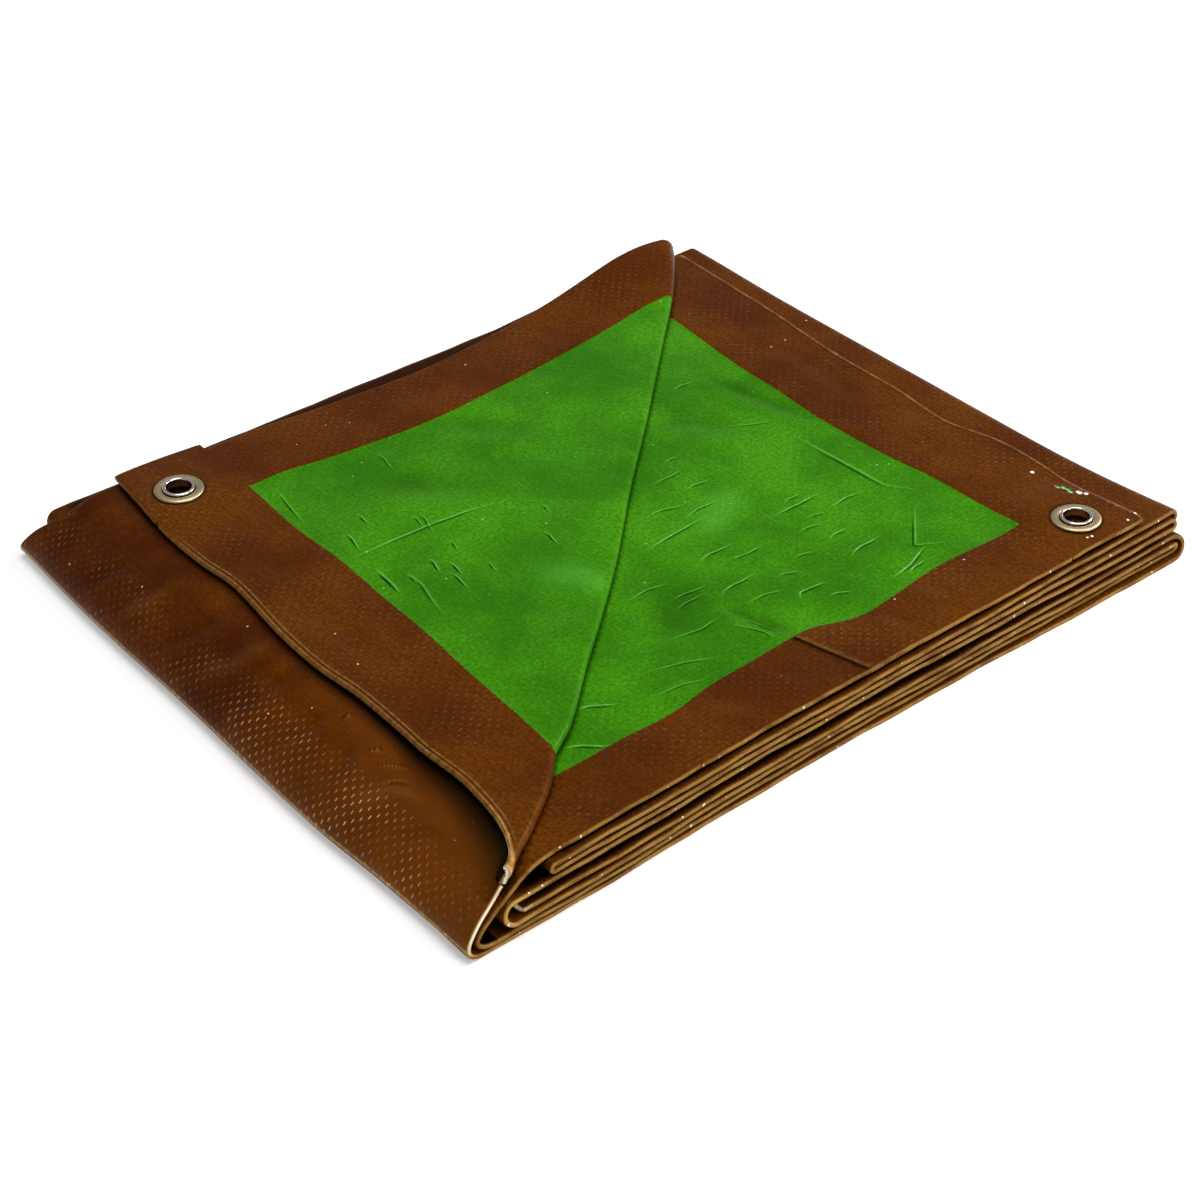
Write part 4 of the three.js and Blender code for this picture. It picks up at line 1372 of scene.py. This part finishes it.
TOP_CREASES = [
    Crease(0.4, 0.8, [(89.5, 54.9), (104.3, 55.4)]),
    Crease(0.4, 0.8, [(46.8, 10.6), (54.7, 11.5)]),
    Crease(0.5, 0.8, [(38.6, -11.7), (54.9, -11.8)]),
    Crease(0.5, 0.9, [(-7.4, -35.7), (14.0, -33.4), (34.6, -32.6)]),
    Crease(0.45, 0.8, [(11.7, -16.6), (34.9, -19.8)]),
    Crease(0.5, 0.8, [(5.9, -57.2), (30.1, -54.4)]),
    Crease(0.45, 0.8, [(65.2, -46.9), (78.0, -45.4)]),
    Crease(0.55, 0.9, [(52.4, -50.4), (70.0, -51.2), (86.6, -50.5)]),
    Crease(0.45, 0.8, [(64.1, -62.0), (76.2, -63.1)]),
    Crease(0.45, 0.8, [(54.1, -67.5), (69.3, -68.4)]),
    Crease(0.5, 0.8, [(61.6, -79.5), (74.7, -77.7)]),
    Crease(0.6, 0.9, [(60.0, -94.5), (81.0, -90.8)]),
    Crease(0.45, 0.8, [(39.3, -80.1), (51.8, -81.1)]),
    Crease(0.45, 0.8, [(25.7, -84.8), (37.5, -88.1)]),
    Crease(0.5, 0.8, [(-2.6, -80.6), (22.5, -76.5)]),
    Crease(0.55, 0.8, [(-19.6, -69.2), (0.4, -70.3)]),
    Crease(0.5, 0.8, [(-22.1, -75.2), (-4.3, -73.7)]),
    Crease(0.6, 0.9, [(22.0, -103.5), (26.1, -98.9), (41.6, -100.8)]),
    Crease(0.5, 0.8, [(33.1, -108.4), (44.0, -112.0)]),
    Crease(0.6, 0.9, [(60.9, -116.8), (75.0, -114.5), (92.0, -108.0)]),
    Crease(0.5, 0.8, [(70.0, -119.0), (84.0, -115.5)]),
    Crease(-0.9, 3.4, [(-6.0, -84.0), (0.0, -102.0), (4.5, -119.0)]),
    Crease(0.45, 0.8, [(-6.0, -92.0), (-1.0, -104.0), (2.5, -117.0)]),
    Crease(0.4, 0.8, [(-12.0, -96.0), (-5.0, -108.0), (-2.0, -118.0)]),
    Crease(0.35, 0.8, [(-40.0, -88.0), (-22.0, -92.0), (-8.0, -90.0)]),
    Crease(0.35, 0.8, [(-60.0, -98.0), (-42.0, -104.0), (-26.0, -112.0)]),
    Crease(0.3, 0.8, [(-70.0, -112.0), (-52.0, -114.0), (-40.0, -119.0)]),
    Crease(0.35, 0.8, [(84.0, 20.0), (98.0, 10.0), (112.0, 4.0)]),
    Crease(-0.7, 4.0, [(110.0, 60.0), (118.0, 20.0), (124.0, -10.0)]),
    Crease(0.35, 1.0, [(111.8, -81.6), (99.0, -94.0), (87.2, -105.7), (104.7, -115.4)]),
    Crease(0.35, 1.6, [(107.0, -3.7), (110.1, -64.8), (120.8, -78.9)]),
    Crease(0.6, 1.0, [(-96.1, -99.4), (-78.8, -107.3)]),
    Crease(0.6, 1.0, [(-114.8, -114.5), (-96.7, -125.7)]),
    Crease(-0.6, 8.0, [(60.0, 40.0), (100.0, 10.0)]),
    Crease(0.5, 9.0, [(20.0, -50.0), (60.0, -20.0)]),
    Crease(-0.6, 8.0, [(-40.0, -90.0), (0.0, -60.0)]),
    Crease(-0.5, 5.0, [(150.0, 60.0), (155.0, -20.0)]),
    Crease(-0.45, 3.2, [(40.0, -126.0), (44.0, -136.0), (46.0, -150.0)]),
    Crease(0.4, 3.2, [(62.0, -124.0), (66.0, -134.0), (72.0, -146.0)]),
    Crease(-0.4, 3.4, [(-22.0, -128.0), (-14.0, -138.0), (-8.0, -152.0)]),
    Crease(0.4, 3.2, [(-58.0, -128.0), (-50.0, -138.0), (-44.0, -150.0)]),
    Crease(0.4, 0.8, [(22.0, -28.0), (34.0, -26.0), (48.0, -27.5)]),
    Crease(0.4, 0.8, [(30.0, 2.0), (42.0, 1.0), (52.0, 2.5)]),
    Crease(0.45, 0.8, [(78.0, -62.0), (90.0, -60.5), (100.0, -62.0)]),
    Crease(0.45, 0.8, [(16.0, -62.0), (28.0, -64.5), (40.0, -64.0)]),
    Crease(0.4, 0.8, [(-34.0, -58.0), (-22.0, -57.0), (-10.0, -59.5)]),
    Crease(0.4, 0.8, [(2.0, -90.0), (14.0, -90.5), (24.0, -94.0)]),
]


WRAP_CREASES = [
    Crease(-0.6, 1.0, [(51.0, -46.0), (56.0, -46.6), (61.0, -48.5)]),
    Crease(-0.6, 1.0, [(50.5, -66.0), (56.0, -69.5), (61.5, -71.5)]),
    Crease(-0.55, 1.0, [(45.5, -72.5), (51.7, -76.0), (60.0, -82.0), (72.2, -93.0)]),
    Crease(0.4, 1.6, [(40.0, -84.0), (52.0, -88.0), (62.0, -95.0)]),
    Crease(-0.5, 3.4, [(24.0, -60.0), (36.0, -64.0), (50.0, -60.0)]),
    Crease(-0.6, 3.2, [(22.0, -28.0), (38.0, -38.0), (56.0, -40.0)]),
    Crease(0.6, 4.2, [(20.0, -78.0), (36.0, -86.0), (60.0, -104.0)]),
    Crease(-0.6, 3.6, [(18.0, 4.0), (36.0, -8.0), (58.0, -12.0)]),
    Crease(0.5, 4.2, [(22.0, 26.0), (38.0, 14.0), (60.0, 8.0)]),
    Crease(-0.55, 3.4, [(20.0, 56.0), (36.0, 44.0), (54.0, 36.0)]),
    Crease(0.5, 3.6, [(20.0, 84.0), (34.0, 74.0), (50.0, 70.0)]),
    Crease(-0.5, 3.2, [(20.0, 112.0), (34.0, 104.0), (48.0, 100.0)]),
    Crease(-0.45, 3.4, [(26.0, -104.0), (34.0, -112.0), (44.0, -124.0)]),
]


# Materials.
class Tree:
    """A node tree, filled a node at a time. Each method gives back the socket that its node puts out."""

    def __init__(self, tree):
        self.nodes, self.links = tree.nodes, tree.links

    def add(self, kind, inputs=(), **settings):
        node = self.nodes.new(kind)
        for key, value in settings.items():
            setattr(node, key, value)
        for socket, value in dict(inputs).items():
            target = node.inputs[socket]
            if isinstance(value, bpy.types.NodeSocket):
                self.links.new(value, target)
            else:
                target.default_value = value
        return node

    def math(self, operation, *values):
        return self.add("ShaderNodeMath", dict(enumerate(values)), operation=operation).outputs[0]

    def times(self, a, b):
        return self.math("MULTIPLY", a, b)

    def range(self, value, low, high, into_low=0.0, into_high=1.0):
        inputs = {0: value, 1: low, 2: high, 3: into_low, 4: into_high}
        return self.add("ShaderNodeMapRange", inputs, interpolation_type="SMOOTHSTEP").outputs[0]

    def colour(self, share, a, b):
        return self.add("ShaderNodeMix", {0: share, 6: a, 7: b}, data_type="RGBA").outputs[2]

    def tinted(self, base, *layers):
        """A colour with layers on it. Each is how strongly it covers the colour, and its tint."""
        for share, tint in layers:
            base = self.colour(share, base, rgb(*tint))
        return base

    def noise(self, place, scale, detail=2.0, roughness=0.5):
        inputs = {"Vector": place, "Scale": scale, "Detail": detail, "Roughness": roughness}
        return self.add("ShaderNodeTexNoise", inputs).outputs[0]


def rgb(red, green, blue):
    """A colour from its usual 0 to 255 values, as the light it gives off."""
    light = [((c / 255 + 0.055) / 1.055) ** 2.4 if c > 10 else c / 255 / 12.92 for c in (red, green, blue)]
    return (*light, 1.0)


PATTERN_NAMES = (
    *("Tapes", "Gaps", "Dashes", "Clusters", "Patches", "Streaks", "Threads", "Grain", "Specks", "Flecks"),
    *("Along", "Depth", "Rim", "Shade", "Ridges", "Troughs", "Loose", "Green bits"),
)


def cloth_patterns():
    """The tapes of the weave and the marks on them, with the painted glints, sparkles, crease highlights
    and shade, in places on the flat cloth.
    """
    group = bpy.data.node_groups.new("cloth patterns", "ShaderNodeTree")
    face = group.interface
    face.new_socket("Pitch", in_out="INPUT", socket_type="NodeSocketFloat")
    for name in PATTERN_NAMES:
        face.new_socket(name, in_out="OUTPUT", socket_type="NodeSocketFloat")
    t = Tree(group)
    given = t.add("NodeGroupInput")
    place = t.add("ShaderNodeUVMap", uv_map="cloth_place").outputs[0]
    split = t.add("ShaderNodeSeparateXYZ", {0: place})
    u = t.math("DIVIDE", split.outputs[0], given.outputs["Pitch"])
    v = t.math("DIVIDE", split.outputs[1], given.outputs["Pitch"])
    in_u, in_v = t.math("FRACT", u), t.math("FRACT", v)
    cell_u, cell_v = t.math("FLOOR", u), t.math("FLOOR", v)
    odd = t.math("FLOORED_MODULO", t.math("ADD", cell_u, cell_v), 2.0)
    even = t.math("SUBTRACT", 1.0, odd)

    def blend(a, b):
        return t.math("ADD", t.times(a, even), t.times(b, odd))

    across, along = blend(in_u, in_v), blend(in_v, in_u)
    off_middle = t.math("ABSOLUTE", t.math("MULTIPLY_ADD", across, 2.0, -1.0))
    gaps = t.math("POWER", off_middle, 6.0)
    arch = t.math("SINE", t.times(along, math.pi))
    tapes = t.times(t.math("SUBTRACT", 1.0, gaps), t.math("MULTIPLY_ADD", arch, 0.45, 0.55))

    cell = t.add("ShaderNodeCombineXYZ", {0: cell_u, 1: cell_v}).outputs[0]
    chance = t.add("ShaderNodeTexWhiteNoise", {"Vector": cell}, noise_dimensions="2D").outputs[0]
    # Painted glints: a short light mark along the middle of every other cell of the weave, at random
    # strength.
    side = t.math("ABSOLUTE", t.math("SUBTRACT", in_v, 0.5))
    ahead = t.math("ABSOLUTE", t.math("SUBTRACT", in_u, 0.5))
    dash = t.times(t.range(side, 0.05, 0.15, 1.0, 0.0), t.range(ahead, 0.2, 0.42, 1.0, 0.0))
    dashes = t.times(t.times(dash, even), t.math("MULTIPLY_ADD", chance, 0.75, 0.25))
    lengthwise = t.add("ShaderNodeMapping", {"Vector": place, "Scale": (1.0, 5.0, 1.0)}).outputs[0]
    crosswise = t.add("ShaderNodeMapping", {"Vector": place, "Scale": (9.0, 1.0, 1.0)}).outputs[0]
    # Painted sparkles: small round spots, of which a few show anywhere on the cloth and the rest only on
    # its pale edges.
    sparkle_noise = t.add("ShaderNodeTexVoronoi", {"Vector": place, "Scale": 210.0})
    crease = t.add("ShaderNodeAttribute", attribute_name="crease").outputs["Fac"]
    thread = t.add("ShaderNodeAttribute", attribute_name="thread").outputs["Fac"]
    few = t.add("ShaderNodeSeparateColor", {0: sparkle_noise.outputs["Color"]}).outputs[0]
    sparkle_spots = t.range(sparkle_noise.outputs["Distance"], 0.06, 0.12, 1.0, 0.0)
    values = {
        "Flecks": t.times(sparkle_spots, t.range(few, 0.955, 0.96)),
        "Loose": t.range(thread, 0.35, 0.6),
        "Green bits": t.range(thread, -0.6, -0.35, 1.0, 0.0),
        "Grain": t.range(t.noise(place, 620.0, 3.0, 0.7), 0.38, 0.62),
        # The creases' painted highlight and painted shade.
        "Ridges": t.math("MAXIMUM", crease, 0.0),
        "Troughs": t.math("MAXIMUM", t.times(crease, -1.0), 0.0),
        "Tapes": tapes,
        "Gaps": gaps,
        "Dashes": dashes,
        "Clusters": t.range(t.noise(place, 30.0, 3.0), 0.4, 0.66),
        "Patches": t.noise(place, 17.0, 4.0, 0.6),
        "Streaks": t.noise(lengthwise, 70.0, 4.0, 0.62),
        "Threads": t.noise(crosswise, 75.0, 4.0, 0.65),
        "Specks": sparkle_spots,
        "Along": split.outputs[0],
        "Depth": split.outputs[1],
        # Rim: the edges' painted highlight mixed with wear. Shade: painted shade.
        "Rim": t.add("ShaderNodeAttribute", attribute_name="rim").outputs["Fac"],
        "Shade": t.add("ShaderNodeAttribute", attribute_name="shade").outputs["Fac"],
    }
    t.add("NodeGroupOutput", values)
    return group


def material_tree(name):
    material = bpy.data.materials.new(name)
    material.use_nodes = True
    material.node_tree.nodes.clear()
    return material, Tree(material.node_tree)


def use_group(t, group, **inputs):
    node = t.add("ShaderNodeGroup")
    node.node_tree = group
    for key, value in inputs.items():
        node.inputs[key].default_value = value
    return node.outputs


def finish_shader(t, inputs):
    shader = t.add("ShaderNodeBsdfPrincipled", inputs)
    t.add("ShaderNodeOutputMaterial", {0: shader.outputs[0]})


TAPE_PITCH = 0.0025  # metres between the tapes of the weave


def cloth_shader(t, cloth, base, relief, rough, shine, tint):
    """The cloth's shader: its tapes stand up a little, and it is rougher where it is darker."""
    bump = {"Strength": relief, "Distance": 0.0003, "Height": cloth["Tapes"]}
    inputs = {"Base Color": base, "Roughness": t.range(cloth["Patches"], 0.3, 0.7, *rough)}
    inputs |= {"Normal": t.add("ShaderNodeBump", bump).outputs[0]}
    finish_shader(t, inputs | {"Specular IOR Level": shine, "Specular Tint": tint})


def brown_cloth(patterns, name, is_outside):
    material, t = material_tree(name)
    cloth = use_group(t, patterns, Pitch=TAPE_PITCH)
    rim, depth = cloth["Rim"], cloth["Depth"]
    # The outer face's copy has a darker brown, partly painted shade on the sheet round the left end, with
    # stronger mottling of its own.
    dark, light = ((72, 25, 0), (112, 55, 4)) if is_outside else ((86, 38, 1), (112, 60, 4))
    base = t.tinted(
        rgb(*dark),
        (t.range(cloth["Patches"], 0.34, 0.68), light),
        (t.range(cloth["Threads"], 0.45, 0.75, 0.0, 0.5), (62, 22, 2)),
        (t.times(cloth["Grain"], 0.55), (60, 23, 0)),
        (t.times(cloth["Gaps"], 0.2), (50, 18, 1)),
    )
    if is_outside:
        # Paler towards the front. Painted glints: strongest in clusters, low on the wrap, and fading
        # towards its back and its very front edge.
        base = t.tinted(base, (t.range(depth, -0.145, 0.03, 0.4, 0.0), (140, 78, 18)))
        fading = (t.range(depth, -0.05, 0.04, 1.0, 0.3), t.range(depth, -0.142, -0.108, 0.12, 1.0))
        low_down = t.range(cloth["Along"], 0.030, 0.045, 1.0, 0.0)
        strength = t.times(t.math("ADD", cloth["Clusters"], 0.25), t.times(*fading))
        strength = t.times(strength, low_down)
    else:
        strength = t.math("MULTIPLY_ADD", cloth["Clusters"], 0.1, 0.01)
    highlight_and_wear = t.range(cloth["Streaks"], 0.32, 0.6, 0.3, 1.0)
    # Painted light on the brown: glints, sparkles, crease highlights, the edges' highlight mixed with wear
    # (near white where brightest, with spot sparkles), and painted shade in the creases' troughs and
    # wherever the shade mark says. The loose threads and green bits are frayed threads.
    base = t.tinted(
        base,
        (t.times(cloth["Dashes"], strength), (230, 205, 170)),
        (t.times(cloth["Flecks"], 0.7), (255, 246, 226)),
        (t.times(cloth["Ridges"], 0.35), (170, 118, 60)),
        (t.times(cloth["Troughs"], 0.6), (28, 9, 1)),
        (t.times(rim, highlight_and_wear), (198, 154, 78)),
        (t.times(t.range(rim, 1.1, 1.9), highlight_and_wear), (255, 250, 238)),
        (t.times(cloth["Specks"], t.range(rim, 0.3, 0.5)), (255, 246, 226)),
        (t.times(cloth["Shade"], 0.97), (3, 1, 0)),
        (cloth["Loose"], (255, 255, 250)),
        (cloth["Green bits"], (120, 220, 120)),
    )
    cloth_shader(t, cloth, base, 0.25, (0.45, 0.32), 0.13, (1.0, 0.5, 0.08, 1.0))
    return material


def green_cloth(patterns):
    material, t = material_tree("green woven sheet")
    cloth = use_group(t, patterns, Pitch=TAPE_PITCH)
    strength = t.math("MULTIPLY_ADD", cloth["Clusters"], 0.2, 0.05)
    # Painted light on the green: glints, sparkles, crease highlights (near white on the highest) and
    # painted shade in the troughs and wherever the shade mark says.
    base = t.tinted(
        rgb(48, 118, 0),
        (t.range(cloth["Patches"], 0.34, 0.68), (76, 158, 8)),
        (t.times(cloth["Grain"], 0.55), (34, 96, 0)),
        (t.times(cloth["Gaps"], 0.14), (30, 92, 2)),
        (t.times(cloth["Dashes"], strength), (120, 190, 80)),
        (t.times(cloth["Flecks"], 0.5), (206, 246, 186)),
        (t.range(cloth["Threads"], 0.55, 0.8, 0.0, 0.4), (92, 176, 40)),
        (t.range(cloth["Streaks"], 0.55, 0.8, 0.0, 0.35), (30, 98, 2)),
        (t.times(cloth["Ridges"], 0.9), (104, 206, 72)),
        (t.range(cloth["Ridges"], 0.8, 1.0, 0.0, 0.6), (206, 246, 186)),
        (cloth["Troughs"], (16, 44, 0)),
        (t.times(cloth["Shade"], 0.9), (3, 10, 1)),
    )
    cloth_shader(t, cloth, base, 0.2, (0.4, 0.28), 0.22, (0.3, 0.9, 0.06, 1.0))
    return material


def eyelet_metal(name, tint, roughness):
    material, t = material_tree(name)
    place = t.add("ShaderNodeUVMap", uv_map="cloth_place").outputs[0]
    fine = t.noise(place, 900.0, 3.0)
    base = t.colour(t.range(fine, 0.5, 0.8, 0.0, 0.4), tint, rgb(168, 150, 120))
    bump = t.add("ShaderNodeBump", {"Strength": 0.03, "Distance": 0.0001, "Height": fine}).outputs[0]
    inputs = {"Base Color": base, "Metallic": 1.0, "Roughness": roughness, "Normal": bump}
    finish_shader(t, inputs)
    return material


def floor_material():
    material, t = material_tree("pale floor")
    place = t.add("ShaderNodeTexCoord").outputs["Object"]
    base = t.colour(t.noise(place, 6.0), rgb(250, 250, 250), rgb(246, 246, 245))
    glow = {"Emission Color": base, "Emission Strength": 0.35}
    finish_shader(t, {"Base Color": base, "Roughness": 0.8, **glow})
    return material


# Floor, light and camera.
CAMERA_TURN, CAMERA_RISE = math.radians(39.7), math.radians(36.5)
CAMERA_TARGET = (-19.1, -23.2, 0.0)
CAMERA_AWAY = 1056.3
LENS = 73.392


def build_stage():
    mesh = bpy.data.meshes.new("floor")
    corners = [(-6.0, -6.0, 0), (6.0, -6.0, 0), (6.0, 6.0, 0), (-6.0, 6.0, 0)]
    mesh.from_pydata(corners, [], [(0, 1, 2, 3)])
    mesh.materials.append(floor_material())
    floor = bpy.data.objects.new("floor", mesh)
    bpy.context.scene.collection.objects.link(floor)

    world = bpy.data.worlds.new("studio")
    bpy.context.scene.world = world
    world.use_nodes = True
    sky = world.node_tree.nodes["Background"].inputs
    sky[0].default_value, sky[1].default_value = (1.0, 1.0, 1.0, 1.0), 0.24


def soft_light(name, place, aim, size, power):
    data = bpy.data.lights.new(name, "AREA")
    data.size = size
    data.energy = power
    light = bpy.data.objects.new(name, data)
    light.location = place
    light.rotation_euler = (Vector(aim) - Vector(place)).to_track_quat("-Z", "Y").to_euler()
    bpy.context.scene.collection.objects.link(light)


def build_camera():
    data = bpy.data.cameras.new("camera")
    data.lens, data.sensor_width = LENS, 36.0
    data.clip_start, data.clip_end = 0.05, 30
    camera = bpy.data.objects.new("camera", data)
    flat = math.cos(CAMERA_RISE)
    ahead = Vector((math.sin(CAMERA_TURN) * flat, math.cos(CAMERA_TURN) * flat, -math.sin(CAMERA_RISE)))
    target = Vector(place_in_frame(CAMERA_TARGET))
    camera.location = target - ahead * CAMERA_AWAY * MM
    camera.rotation_euler = ahead.to_track_quat("-Z", "Y").to_euler()
    bpy.context.scene.collection.objects.link(camera)
    bpy.context.scene.camera = camera


# The whole tarp.
patterns = cloth_patterns()
brown = brown_cloth(patterns, "brown woven sheet", False)
outside = brown_cloth(patterns, "brown outer face with painted shade and glints", True)
green = green_cloth(patterns)
rim_metal = eyelet_metal("eyelet metal", rgb(244, 241, 234), 0.18)
washer_metal = eyelet_metal("washer metal", rgb(212, 192, 152), 0.42)

flap = build_flap([brown, green])
top_leaf = build_top([brown, green])
inner_leaves = build_inner([brown, green])
under_sheet = build_under([brown, green])
left_wrap = build_wrap([outside, green])
corner_right = build_right_corner([brown])
corner_left = build_left_corner([brown])
rings = {}
for eyelet, lean in zip(EYELETS, (-0.05, 0.0)):
    rings["eyelet", eyelet.side] = turned_ring(
        "pressed_eyelet_" + eyelet.side, eyelet_outline(), eyelet, lean, rim_metal
    )
    rings["washer", eyelet.side] = turned_ring(
        "washer_ring_" + eyelet.side, washer_outline(), eyelet, lean, washer_metal
    )

cloth_pieces = [flap, top_leaf, inner_leaves, under_sheet, left_wrap]
for piece in cloth_pieces:
    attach(piece, BODY)
    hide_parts("cloth")
for piece, side in ((corner_right, "right"), (corner_left, "left")):
    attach(piece, BODY)
    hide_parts("corner_strip_" + side)
for (kind, side), piece in rings.items():
    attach(piece, BODY)
    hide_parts(kind + "_" + side)

build_stage()
soft_light("top light", (0.1, -0.2, 2.2), (0, 0, 0), 1.6, 28)
soft_light("window light", (1.7, -0.5, 1.15), (0, 0, 0), 0.7, 20)
soft_light("front light", (0.5, -1.6, 0.7), (0, 0, 0), 0.6, 7)
build_camera()
bpy.context.scene.view_settings.view_transform = "Standard"
